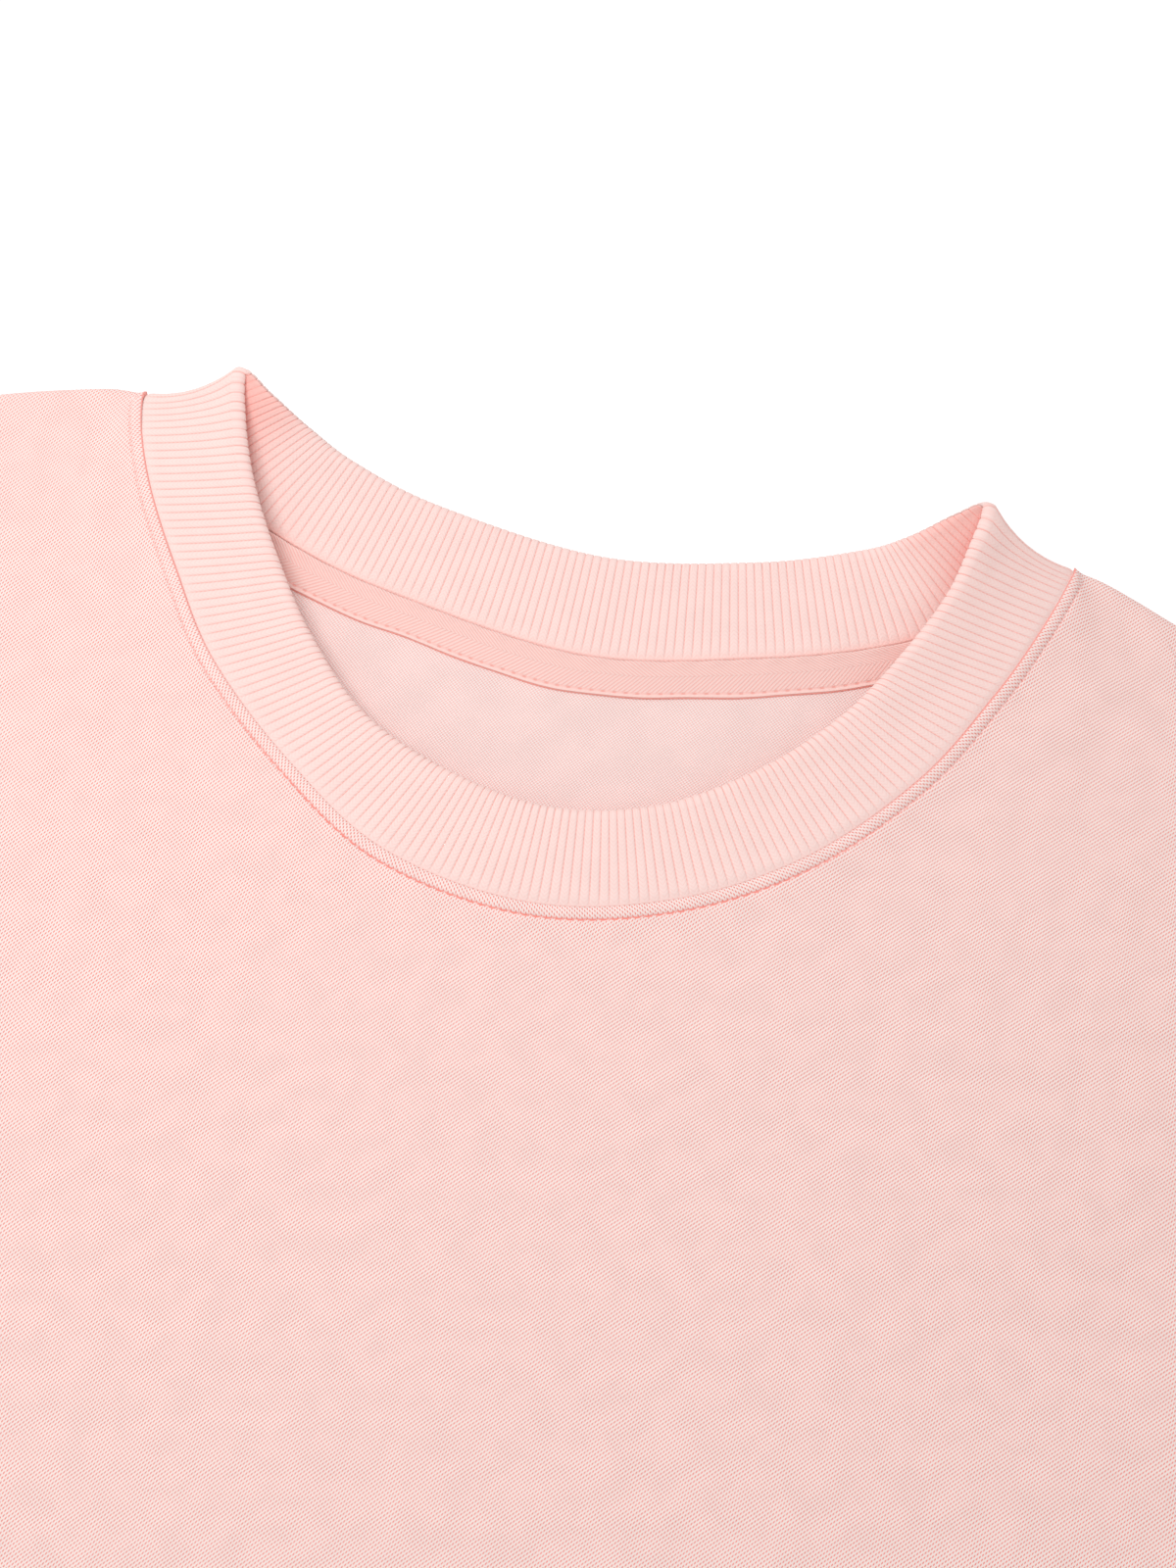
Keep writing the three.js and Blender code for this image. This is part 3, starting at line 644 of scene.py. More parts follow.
def front_place(edge, sizes):
    places, is_top = panel_rows(2.8, 5.5)
    coarse = np.concatenate([np.arange(edge.first_neck), np.arange(edge.first_neck, edge.last_neck, 4),
                             np.arange(edge.last_neck, edge.count)])
    quarters = np.arange(4 * len(coarse) - 3) / 4
    column_at = np.rint(np.interp(quarters, np.arange(len(coarse)), coarse)).astype(int)
    finer = (edge.first_neck, len(coarse) - (edge.count - edge.last_neck), len(NEAR_ROWS) - 1)
    stitch = sizes.stitch / MM
    line = sizes.stitch_line / MM
    ridge = sizes.ridge / MM

    def relief(distance, from_middle, from_corner):
        """Ridge, stitch groove and turned-in cloth beside the neck seam."""
        sagging = abs(np.sin(np.pi * from_middle / stitch))     # 0 at the needle holes
        beside = (from_corner > 0) * smooth(0.85 * distance - 0.3, 2 * distance + 0.3, from_corner)
        crown = ridge * bell(distance - 1.15, 1.1)
        groove = (0.3 + 0.1 * sagging) * bell(distance - line - 0.24 * (sagging - 0.5), 0.24)
        turned = 0.35 * (1 - smooth(3, 9, distance))
        return beside * (crown + turned - groove)

    def place(i, j):
        r = places[j]
        x, y = edge.plan(column_at[i], r)
        distance, along_edge, seam_z = edge.nearest(x, y)
        from_middle, from_corner = along_edge - edge.middle, edge.from_corner(along_edge)
        floor = CLOTH + AIR
        v = np.clip((SHOULDER_TIP[1] - y) / (SHOULDER_TIP[1] - HEM_Y), 0, 1)
        from_side = edge.from_side(column_at[i], x, y)
        inside = smooth(0, 34, from_side) * smooth(0, 0.05, 1 - v)
        held = np.maximum(seam_z - CLOTH / 2 - floor, 0) * bell(distance, SEAM_REACH)
        loose = fold_lift(x, y) * inside * smooth(2, 40, distance)
        free = smooth(0, 12, from_side) * smooth(0, 5, distance)
        risen = held + loose + sizes.crease * fold_height(x, y, CREASES) * free
        risen = (risen + np.sqrt(risen ** 2 + (0.4 * free) ** 2)) / 2      # troughs flatten out on the back
        gathers = 0.35 * np.sin(x / 2.1 + 1.3 * np.sin(x / 17)) * smooth(0.955, 1, v)
        bloused = 1.1 * smooth(0.93, 1, v)
        under = floor + risen + bloused + gathers
        side_radius = np.where(y > UNDERARM[1], ARMHOLE_ROUND, SIDE_ROUND)
        thick = CLOTH * rounding(from_side, side_radius)
        thick *= lerp(1, rounding(distance, SIDE_ROUND), smooth(0, 2.5, -from_corner))
        z = np.where(is_top[j], under + thick + relief(distance, from_middle, from_corner), under)
        seam = np.stack([from_middle, np.where(from_corner > -0.01, distance, 100)], axis=-1)
        return np.stack([x, y, z], axis=-1), knit_coordinates(x, y), seam

    return len(coarse) - 1, len(places) - 1, place, finer


def back_place(edge):
    places, is_top = panel_rows(4, 12)

    def place(i, j):
        r = places[j]
        x, y = edge.plan(i, r)
        distance, along_edge, _ = edge.nearest(x, y)
        from_side = edge.from_side(i, x, y)
        side_radius = np.where(y > UNDERARM[1], ARMHOLE_ROUND, SIDE_ROUND)
        thick = CLOTH * rounding(from_side, side_radius)
        thick *= lerp(1, rounding(distance, SIDE_ROUND), smooth(0, 2.5, -edge.from_corner(along_edge)))
        z = np.where(is_top[j], CLOTH, CLOTH - thick)
        return np.stack([x, y, z], axis=-1), knit_coordinates(x, y)

    return edge.count - 1, len(places) - 1, place


# Collar

RIB_PHASES = np.array([0, 0.06, 0.12, 0.24, 0.5, 0.76, 0.88, 0.94])


def rib_profile(phase, groove):
    """Height of a 1x1 rib at its phase, from -1 in the groove to 1 on the crown."""
    from_groove = np.minimum(phase % 1, 1 - phase % 1)
    return 1 - 2 * bell(from_groove, groove * 0.55) - 0.12 * (2 * from_groove - 1) ** 2


def collar_place(sizes):
    columns = COLLAR_RIBS * len(RIB_PHASES)
    phase = np.concatenate([(np.arange(COLLAR_RIBS)[:, None] + RIB_PHASES).ravel(), [COLLAR_RIBS]])
    stations = spaced_stations(middle_point, 0, STATIONS, phase / COLLAR_RIBS)
    seam, edge = seam_point(stations), edge_point(stations)
    normal, sag = collar_normal(stations), station(stations)[:, 6]
    sag_way = unit(sum(collar_normal(stations + k) for k in np.linspace(-0.7, 0.7, 5)))
    from_fold = np.min([abs(stations - LEFT_FOLD), abs(stations - RIGHT_FOLD)], axis=0)
    pressed = 0.85 * (1 - smooth(0.3, 1.6, from_fold))
    height = np.linalg.norm(edge - seam, axis=1)
    up = unit(edge - seam)
    face = np.array([0, 0.5, 1.1, 1.8, 2.6, 3.6, 5, 7, 9.5, 12, 14.5, 17, 19]) / COLLAR_HIGH
    turn = np.linspace(0, np.pi, 11)
    shares = np.concatenate([face, np.full(len(turn), 1.0), face[::-1], face[:1]])
    turns = np.concatenate([np.zeros(len(face)), turn, np.full(len(face), np.pi), [0.0]])
    round_row = np.concatenate([np.zeros(len(face)), np.ones(len(turn)), np.zeros(len(face) + 1)])

    def place(i, j):
        side = np.cos(turns[j])
        h = height[i]
        top_share = 1 - COLLAR_HALF / h
        t = np.where(round_row[j] > 0, top_share, shares[j] * top_share * 1.03)
        middle = lerp(seam[i], edge[i], t[:, None])
        middle -= sag_way[i] * (sag[i] * 4 * t * (1 - t))[:, None]
        from_seam = t * h
        # The ribs sink into the seam, and lie plain on the table round the back.
        start = smooth(0, 1.6, from_seam)
        lying = 1 - smooth(1.6, 5, middle[:, 2])
        faces_down = smooth(-0.3, -0.8, side * normal[i, 2])
        ribs = RIB_HEIGHT / 2 - sizes.groove_depth / MM * (1 - rib_profile(phase[i], sizes.groove)) / 2
        ribs *= (1 - lying * faces_down) * start
        thickness = (COLLAR_HALF - 0.25 * (1 - start) + ribs) * (1 - pressed[i] * np.clip(-side, 0, 1))
        point = middle + normal[i] * (side * thickness)[:, None]
        point += up[i] * (np.sin(turns[j]) * round_row[j] * (COLLAR_HALF + 0.5 + ribs))[:, None]
        # The sewn edge is cut plumb, because the body's edge stands upright there.
        inward = up[i] * [1, 1, 0]
        slide = np.sum((point - seam[i]) * inward, axis=1) / np.sum(inward ** 2, axis=1)
        point -= up[i] * (slide * (shares[j] == 0))[:, None]
        point[:, 2] = np.maximum(point[:, 2], 0)
        return point, np.stack([phase[i], from_seam * np.where(side < 0, -1, 1)], axis=-1)

    return columns, len(shares) - 1, place


# Neck tape

def tape_place():
    count = 320
    stations = spaced_stations(seam_point, TAPE_FROM, TAPE_TO, np.linspace(0, 1, count + 1))
    seam = seam_point(stations)
    out = unit((seam - edge_point(stations))[:, :2])
    so_far = along(seam)
    across = np.array([0, 0.03, 0.08, 0.16, 0.28, 0.42, 0.56, 0.68, 0.78, 0.83, 0.86, 0.89, 0.92, 0.96,
                       0.985, 1])
    shares = np.concatenate([across, across[::-1], across[:1]])
    is_top = np.arange(len(shares)) < len(across)
    is_top[-1] = True

    def place(i, j):
        w = shares[j]
        a = so_far[i]
        wave = 0.18 * np.sin(a / 7.3) + 0.12 * np.sin(a / 3.1 + 1)
        reach = 0.5 + w * TAPE_WIDTH + wave * w
        xy = seam[i, :2] + out[i] * reach[:, None]
        pull = 0.5 + 0.5 * np.cos(2 * np.pi * a / TAPE_STITCH)
        lifted = (0.02 + 0.1 * bell(seam[i, 0] - 14, 12)) * smooth(0.8, 1, w)
        bumps = (0.16 + 0.14 * np.sin(a / 1.15 + 2 * np.sin(a / 9))) * bell(w - 0.06, 0.07)
        groove = (0.08 + 0.12 * pull) * bell(w - 0.865, 0.035)
        body = lerp(TAPE_CLOTH, 0.3, smooth(0.3, 1, w)) + TAPE_LIFT * (1 - w) ** 2 + bumps - groove
        ends = rounding(np.minimum(i, count - i), 2)
        rim = rounding(np.minimum(w, 1 - w) * TAPE_WIDTH, 0.35)
        base = CLOTH + 0.08 + lifted
        z = np.where(is_top[j], base + body * lerp(0.25, 1, rim) * ends, base)
        return np.stack([xy[:, 0], xy[:, 1], z], axis=-1), np.stack([a, w * TAPE_WIDTH], axis=-1)

    return count, len(shares) - 1, place


# Flattened tubes

def tube_columns(top_shares, edge_steps, under_steps):
    """Round a flattened tube: share across, turn from up to down, and which folded edge."""
    turn = np.linspace(0, np.pi, edge_steps + 1)[1:-1]
    under = np.linspace(1, 0, under_steps + 1)
    share = np.concatenate([top_shares, np.ones(len(turn)), under, np.zeros(len(turn)), top_shares[:1]])
    angle = np.concatenate([np.zeros(len(top_shares)), turn, np.full(len(under), np.pi), turn[::-1], [0]])
    side = np.concatenate([np.zeros(len(top_shares)), np.ones(len(turn)), np.zeros(len(under)),
                           -np.ones(len(turn)), [0]])
    return share, angle, side


def tube_place(columns, downs, across, cloth, lift, relief, coordinates, end_round=0.0):
    """A tube of cloth laid flat.

    across(w, down) gives plan points, lift(w, down, x, y) the air between its
    layers, and relief(q, down) what is taken off the face that shows.
    """
    share, angle, side = columns
    inner_downs = downs[::-1][::max(1, len(downs) // 14)]
    inner_downs = np.unique(np.concatenate([inner_downs, [downs[0], downs[-1]]]))[::-1]
    turn = np.linspace(0, np.pi, 9)[1:-1] if end_round else np.array([])
    down_at = np.concatenate([downs, np.full(len(turn), downs[-1]), inner_downs, downs[:1]])
    depth_at = np.concatenate([np.zeros(len(downs)), (1 - np.cos(turn)) / 2,
                               np.ones(len(inner_downs)), [0]])        # 0 outside, 1 inside
    past_at = np.concatenate([np.zeros(len(downs)), np.sin(turn), np.zeros(len(inner_downs) + 1)])

    def place(i, j):
        down, depth, q, phi = down_at[j], depth_at[j], share[i], angle[i]
        width = np.linalg.norm(across(np.ones_like(q), down) - across(np.zeros_like(q), down), axis=1)
        high = 2 * cloth + AIR
        inset = lerp(high / 2, cloth, depth) / width
        bulge = lerp(high / 2, 0.0, depth) / width
        w = inset + q * (1 - 2 * inset) + side[i] * bulge * np.sin(phi)
        xy = across(w, down)
        if end_round:
            way = unit(across(q, np.ones_like(q)) - across(q, np.zeros_like(q)))
            xy = xy + way * (past_at[j] * cloth / 2)[:, None]
        air = np.maximum(lift(w, down, xy[:, 0], xy[:, 1]), AIR) * (side[i] == 0) + AIR * (side[i] != 0)
        upper = (1 + np.cos(phi)) / 2
        outer = (2 * cloth + air) * upper - relief(q, down) * upper ** 2
        inner = cloth + air * upper
        z = lerp(outer, inner, depth)
        return np.stack([xy[:, 0], xy[:, 1], z], axis=-1), coordinates(q, phi, down, width)

    return len(share) - 1, len(down_at) - 1, place


def hermite(x, places, values):
    """A smooth curve through table values."""
    slope = np.gradient(values, places)
    i = np.clip(np.searchsorted(places, x, side="right") - 1, 0, len(places) - 2)
    span = places[i + 1] - places[i]
    f = (x - places[i]) / span
    return ((1 + 2 * f) * (1 - f) ** 2 * values[i] + f * (1 - f) ** 2 * span * slope[i]
            + f ** 2 * (3 - 2 * f) * values[i + 1] + f ** 2 * (f - 1) * span * slope[i + 1])


def sleeve_axes():
    away = np.array([math.cos(SLEEVE_DROP), -math.sin(SLEEVE_DROP)])
    return away, np.array([away[1], -away[0]])


def sleeve_place(sign, sizes):
    away, inward = sleeve_axes()
    cuff_top = np.array(SHOULDER_TIP) + away * SLEEVE_LENGTH

    def across(w, down):
        near = plan_curve(ARMHOLE, np.clip(w, 0, 1)) + [0.15, 0]
        near = near + np.outer((w - np.clip(w, 0, 1)) * SLEEVE_END, inward)
        far = cuff_top + np.outer(w * SLEEVE_END, inward)
        upper, lower, gather = (hermite(down, SLEEVE_ROWS[:, 0], SLEEVE_ROWS[:, k]) for k in (1, 2, 3))
        bow = lerp(-upper, lower, w) + gather * (0.5 - w)
        p = lerp(near, far, down[:, None]) + np.outer(bow, inward)
        return p * [sign, 1]

    def lift(w, down, x, y):
        free = smooth(0, 0.08, down) * smooth(0, 0.03, 1 - down)
        edges = smooth(0, 0.16, w) * smooth(0, 0.16, 1 - w)
        creased = sizes.crease * fold_height(x, y, CREASES) * smooth(0, 0.08, w) * smooth(0, 0.08, 1 - w)
        gathers = 0.4 * np.sin(w * SLEEVE_END / 1.9 + 1.2 * np.sin(w * 9)) * smooth(0.95, 1, down) * edges
        return AIR + free * (fold_lift(x, y) * edges + creased) + 0.9 * smooth(0.9, 1, down) + gathers

    def relief(q, down):
        ends = np.minimum(down, 1 - down) * SLEEVE_LENGTH
        return 0.7 * (1 - rounding(ends, 1.2))

    def coordinates(q, phi, down, width):
        u = (q - 0.5) * width + np.where(phi > np.pi / 2, 400, 0)
        return np.stack([u, -down * SLEEVE_LENGTH + 3 * np.sin(u / 40)], axis=-1)

    columns = tube_columns(np.linspace(0, 1, 151), 10, 30)
    downs = np.concatenate([[0, 0.0006, 0.0013, 0.0022, 0.004], np.linspace(0.01, 0.94, 150),
                            np.linspace(0.945, 0.996, 26), [0.9978, 0.9987, 0.9994, 1]])
    return tube_place(columns, downs, across, CLOTH, lift, relief, coordinates)


def band_place(seam_a, seam_b, edge_a, edge_b, sizes):
    """A ribbed band between its seam's two ends and its free edge's two ends."""
    seam_a, seam_b, edge_a, edge_b = (np.array(p, float) for p in (seam_a, seam_b, edge_a, edge_b))
    ribs = round(np.linalg.norm(seam_b - seam_a) / RIB_PITCH)
    long_way = np.linalg.norm(edge_a - seam_a)
    phase = np.concatenate([(np.arange(ribs)[:, None] + RIB_PHASES).ravel(), [ribs]])

    def across(w, down):
        w, down = w[:, None], down[:, None]
        return lerp(lerp(seam_a, seam_b, w), lerp(edge_a, edge_b, w), down)

    def lift(w, down, x, y):
        return AIR + 0 * w

    def relief(q, down):
        start = smooth(0, 2.5, down * long_way)
        depth = sizes.groove_depth / MM * lerp(0.35, 1, start)
        groove = (1 - rib_profile(q * ribs, sizes.groove)) / 2 * depth
        return groove + 0.8 * (1 - rounding(down * long_way, 1.0))

    def coordinates(q, phi, down, width):
        return np.stack([q * ribs + np.where(phi > np.pi / 2, ribs, 0), down * long_way], axis=-1)

    columns = tube_columns(phase / ribs, 10, 60)
    downs = np.array([0, 0.4, 0.9, 1.6, 2.6, 4, 8, 16, 26, 36, 46, 54]) / 62
    downs = np.append(downs, 1 - BAND_CLOTH / 2 / long_way)
    return tube_place(columns, downs, across, BAND_CLOTH, lift, relief, coordinates, end_round=1.0)


# Materials

def add_node(tree, kind, inputs=None, **settings):
    """Adds a node with its settings. An input is a value, or the output that feeds it."""
    made = tree.nodes.new(kind)
    for name, value in settings.items():
        setattr(made, name, value)
    for key, value in (inputs or {}).items():
        if isinstance(value, bpy.types.NodeSocket):
            tree.links.new(value, made.inputs[key])
        else:
            made.inputs[key].default_value = value
    return made


def arithmetic(operation):
    """A function that adds one step of arithmetic on values or outputs."""
    def add_step(tree, a, b=0.0):
        return add_node(tree, "ShaderNodeMath", {0: a, 1: b}, operation=operation).outputs[0]
    return add_step


plus, minus, times, cosine, sine = map(arithmetic, ("ADD", "SUBTRACT", "MULTIPLY", "COSINE", "SINE"))
absolute, larger, smaller = map(arithmetic, ("ABSOLUTE", "MAXIMUM", "MINIMUM"))
is_less, fraction = map(arithmetic, ("LESS_THAN", "FRACT"))


def new_material(name):
    material = bpy.data.materials.new(name)
    material.use_nodes = True
    material.node_tree.nodes.clear()
    return material, material.node_tree


def finish_cloth(tree, base, height, depth_mm, roughness=0.95, sheen=0.04):
    """Cloth's surface from its colour and a height from 0 to 1, worth depth_mm."""
    bump = add_node(tree, "ShaderNodeBump", {"Height": height, "Distance": depth_mm * MM, "Strength": 1.0})
    shader = add_node(tree, "ShaderNodeBsdfPrincipled", {
        "Base Color": base, "Normal": bump.outputs[0], "Roughness": roughness, "IOR": 1.45,
        "Specular IOR Level": 0.08, "Sheen Weight": sheen, "Sheen Roughness": 0.5})
    add_node(tree, "ShaderNodeOutputMaterial", {"Surface": shader.outputs[0]})


def cloth_coordinates(tree, wander_mm=0.0, wander_size_mm=12.0):
    """The piece's own cloth coordinates in mm, led slightly astray as in real knit."""
    uv = add_node(tree, "ShaderNodeUVMap", uv_map="cloth").outputs[0]
    if not wander_mm:
        return uv
    noise = add_node(tree, "ShaderNodeTexNoise", {"Vector": uv, "Scale": 1 / wander_size_mm, "Detail": 1.0})
    centred = add_node(tree, "ShaderNodeVectorMath", {0: noise.outputs["Color"], 1: (0.5, 0.5, 0.5)},
                       operation="SUBTRACT")
    shift = add_node(tree, "ShaderNodeVectorMath", {0: centred.outputs[0], "Scale": 2 * wander_mm},
                     operation="SCALE")
    return add_node(tree, "ShaderNodeVectorMath", {0: uv, 1: shift.outputs[0]}, operation="ADD").outputs[0]


def blend_colours(tree, share, a, b):
    return add_node(tree, "ShaderNodeMix", {0: share, 6: a, 7: b}, data_type="RGBA").outputs[2]


def ramp(tree, value, low, high, to_low=0.0, to_high=1.0):
    return add_node(tree, "ShaderNodeMapRange",
                    {0: value, 1: low, 2: high, 3: to_low, 4: to_high},
                    interpolation_type="SMOOTHSTEP").outputs[0]


def mottled(tree, where, base, amount, size_mm):
    """Darkens and lightens a colour softly, in blots of that size."""
    noise = add_node(tree, "ShaderNodeTexNoise", {"Vector": where, "Scale": 1 / size_mm, "Detail": 2.0})
    value = ramp(tree, noise.outputs[0], 0.3, 0.7, 1 - amount, 1 + amount)
    return add_node(tree, "ShaderNodeMix", {0: 1.0, 6: base, 7: value}, data_type="RGBA",
                    blend_type="MULTIPLY").outputs[2]


def knit_face(colours, sizes, beside_neck=False):
    """Cotton-blend sweatshirt jersey: pale loops, with small rosy gaps between them, coloured darker partly
    as painted shade in those holes.

    Beside the neck it follows the seam as far as the stitching, which draws the cloth down in small arcs.
    The stitching's groove and the seam itself get lines of painted shade in the gaps' colour.
    """
    material, tree = new_material("sweatshirt jersey, face")
    where = cloth_coordinates(tree, 0.1, 9.0)
    if beside_neck:
        seam = add_node(tree, "ShaderNodeUVMap", uv_map="seam").outputs[0]
        along_seam, from_seam, _ = add_node(tree, "ShaderNodeSeparateXYZ", {0: seam}).outputs
        turn = times(tree, along_seam, math.pi / (sizes.stitch / MM))
        sagging = absolute(tree, sine(tree, turn))
        line_at = plus(tree, times(tree, sagging, 0.24), sizes.stitch_line / MM - 0.12)
        from_line = minus(tree, from_seam, line_at)
        inside_line = is_less(tree, from_line, 0.0)
        where = add_node(tree, "ShaderNodeMix", {0: inside_line, 4: where, 5: seam},
                         data_type="VECTOR").outputs[1]
        # Painted shade: a dark line in the stitching's groove, following its arcs between the needle holes.
        stitch_line = times(tree, ramp(tree, absolute(tree, from_line), 0.3, 0.06),
                           ramp(tree, sagging, 0.0, 0.9, 0.45, 1.0))
        # The painted shade of the stitching's groove shows most at the front, and that of the seam itself
        # at the sides.
        from_middle = absolute(tree, along_seam)
        stitch_line = times(tree, stitch_line, ramp(tree, from_middle, 40, 110, 0.9, 0.2))
        seam_shade = times(tree, ramp(tree, from_seam, 0.45, 0.15),
                          ramp(tree, from_middle, 50, 110, 0, 0.7))
        stitch_line = larger(tree, stitch_line, seam_shade)
    turns = add_node(tree, "ShaderNodeVectorMath", {
        0: where, 1: (2 * math.pi / (sizes.wale / MM), 2 * math.pi / (sizes.course / MM), 0)},
        operation="MULTIPLY")
    u, v, _ = add_node(tree, "ShaderNodeSeparateXYZ", {0: turns.outputs[0]}).outputs
    cos_u = cosine(tree, u)
    cos_v = cosine(tree, v)
    lean = times(tree, times(tree, sine(tree, v), cos_u), 0.9)
    double = cosine(tree, minus(tree, times(tree, u, 2.0), lean))
    staggered = times(tree, cos_u, cos_v)
    mask = ramp(tree, plus(tree, double, staggered), -0.2, 1.6)
    if beside_neck:
        mask = larger(tree, mask, stitch_line)
    # The gaps' colour is partly painted shade in the holes between loops.
    base = blend_colours(tree, mask, (*colours.knit, 1), (*colours.knit_gap_and_shade, 1))
    base = mottled(tree, where, base, 0.02, 6.0)
    finish_cloth(tree, base, minus(tree, 1.0, mask), 0.07)
    return material


def knit_beside_neck(colours, sizes):
    return knit_face(colours, sizes, beside_neck=True)


def knit_inside(colours):
    """The jersey's reverse: a finer, flatter grain. Its 0.5 mm grain is drawn at 0.75 mm to show."""
    material, tree = new_material("sweatshirt jersey, reverse")
    where = cloth_coordinates(tree, 0.15, 7.0)
    grain = 2 * math.pi / 0.75
    turns = add_node(tree, "ShaderNodeVectorMath", {0: where, 1: (grain, grain, 0)}, operation="MULTIPLY")
    u, v, _ = add_node(tree, "ShaderNodeSeparateXYZ", {0: turns.outputs[0]}).outputs
    mask = ramp(tree, times(tree, cosine(tree, u), cosine(tree, v)), -0.6, 1.0)
    # The grain's hollows take half the gaps' colour, partly painted shade.
    base = blend_colours(tree, times(tree, mask, 0.5), (*colours.inside, 1), (*colours.knit_gap_and_shade, 1))
    base = mottled(tree, where, base, 0.02, 9.0)
    finish_cloth(tree, base, minus(tree, 1.0, mask), 0.1)
    return material


def rib_knit(colours, name="1x1 rib knit", folds=()):
    """1x1 rib: smooth pale ribs with narrow rosy grooves, dotted by their stitches; the grooves' colour is
    mostly painted shade.

    folds are the ribs at which the collar is folded; near them its inside is tinted deep pink, painted
    shade for the light bounced between the cloth.
    """
    material, tree = new_material(name)
    where = cloth_coordinates(tree)
    u, v, _ = add_node(tree, "ShaderNodeSeparateXYZ", {0: where}).outputs
    phase = fraction(tree, u)
    from_groove = smaller(tree, phase, minus(tree, 1.0, phase))
    # Painted shade along each groove between the ribs.
    groove_shade = ramp(tree, from_groove, 0.1, 0.0, 0.0, 0.6)
    rows = cosine(tree, times(tree, v, 2 * math.pi / RIB_COURSE))
    dotted = ramp(tree, rows, -1.0, 1.0, 0.6, 1.0)
    away = absolute(tree, v)
    fade = ramp(tree, away, 0.5, 4.0, 0.25, 1.0)
    line = times(tree, times(tree, groove_shade, dotted), fade)
    legs = cosine(tree, plus(tree, times(tree, from_groove, 14.0),
                                     times(tree, v, 2 * math.pi / RIB_COURSE)))
    grain = ramp(tree, legs, 0.2, 1.0, 0.0, 0.1)
    base = blend_colours(tree, larger(tree, line, grain), (*colours.rib, 1), (*colours.rib_groove_shade, 1))
    base = mottled(tree, where, base, 0.012, 5.0)
    # Painted shade: the collar's inside near each fold is tinted deep pink.
    for fold in folds:
        near = ramp(tree, absolute(tree, minus(tree, u, fold)), 16.0, 3.0, 0.0, 0.35)
        inside = times(tree, near, is_less(tree, v, 0.0))
        base = blend_colours(tree, inside, base, (*colours.fold, 1))
    finish_cloth(tree, base, minus(tree, 1.0, times(tree, grain, 4.0)), 0.06)
    return material


def twill(colours):
    """Cotton herringbone tape: two bands of slanting ribs that meet at a chevron, and a plain selvedge. The
    lines between the ribs are partly painted shade in their grooves, and a painted shadow lines the lower
    edge.
    """
    material, tree = new_material("herringbone twill tape")
    where = cloth_coordinates(tree, 0.1, 6.0)
    u, v, _ = add_node(tree, "ShaderNodeSeparateXYZ", {0: where}).outputs
    upper = is_less(tree, v, TAPE_CHEVRON)
    slant = plus(tree, times(tree, upper, 2.6), -1.1)
    turn = times(tree, plus(tree, u, times(tree, v, slant)), 2 * math.pi / 0.95)
    lines = ramp(tree, cosine(tree, turn), -0.2, 1.0)
    selvedge = ramp(tree, v, TAPE_WIDTH - 1.2, TAPE_WIDTH - 0.9, 1.0, 0.25)
    stitch = times(tree,
                  ramp(tree, absolute(tree, minus(tree, v, TAPE_STITCHES)), 0.3, 0.1),
                  ramp(tree, cosine(tree, times(tree, u, 2 * math.pi / TAPE_STITCH)), 0.1, 0.9, 0.25, 0.65))
    # Painted shadow: a thin dark line along the lower edge, where the tape meets the panel.
    edge = ramp(tree, v, TAPE_WIDTH - 0.28, TAPE_WIDTH - 0.12, 0.0, 0.8)
    dark = larger(tree, times(tree, times(tree, lines, selvedge), 0.38), stitch)
    dark = larger(tree, dark, edge)
    base = blend_colours(tree, dark, (*colours.tape, 1), (*colours.tape_line_and_shade, 1))
    finish_cloth(tree, base, minus(tree, 1.0, dark), 0.14, roughness=0.85, sheen=0.1)
    return material


def plain_table(colours):
    """White table, bright enough to show hardly any shadow, as under a cut-out."""
    material, tree = new_material("white tabletop")
    shade = add_node(tree, "ShaderNodeBsdfDiffuse", {0: (0.25, 0.25, 0.25, 1)})
    glow = add_node(tree, "ShaderNodeEmission", {0: (*colours.floor, 1), 1: TABLE_GLOW})
    both = add_node(tree, "ShaderNodeAddShader", {0: shade.outputs[0], 1: glow.outputs[0]})
    add_node(tree, "ShaderNodeOutputMaterial", {"Surface": both.outputs[0]})
    return material


def shared(make, *settings):
    """A material made once and used by every piece that wants it."""
    if make.__name__ not in MADE:
        MADE[make.__name__] = make(*settings)
    return MADE[make.__name__]


MADE = {}


# Stage

VIEW_TARGET = Vector((0.0086, 0.2554, 0.0))
VIEW_AZIMUTH = math.radians(11)
VIEW_ELEVATION = math.radians(68)
VIEW_DISTANCE = 0.742
LENS = 82.64
WORLD_STRENGTH = 0.64
TABLE_GLOW = 0.84


def add_camera():
    camera = bpy.data.objects.new("camera", bpy.data.cameras.new("camera"))
    bpy.context.scene.collection.objects.link(camera)
    camera.data.lens = LENS
    look = Vector((-math.sin(VIEW_AZIMUTH) * math.cos(VIEW_ELEVATION),
                   math.cos(VIEW_AZIMUTH) * math.cos(VIEW_ELEVATION), -math.sin(VIEW_ELEVATION)))
    camera.location = VIEW_TARGET - look * VIEW_DISTANCE
    camera.rotation_euler = look.to_track_quat("-Z", "Y").to_euler()
    bpy.context.scene.camera = camera


def add_area_light(name, place, target, size, watts):
    light = bpy.data.lights.new(name, "AREA")
    light.shape, light.size, light.energy = "DISK", size, watts
    holder = bpy.data.objects.new(name, light)
    bpy.context.scene.collection.objects.link(holder)
    holder.location = place
    holder.rotation_euler = (Vector(target) - Vector(place)).to_track_quat("-Z", "Y").to_euler()


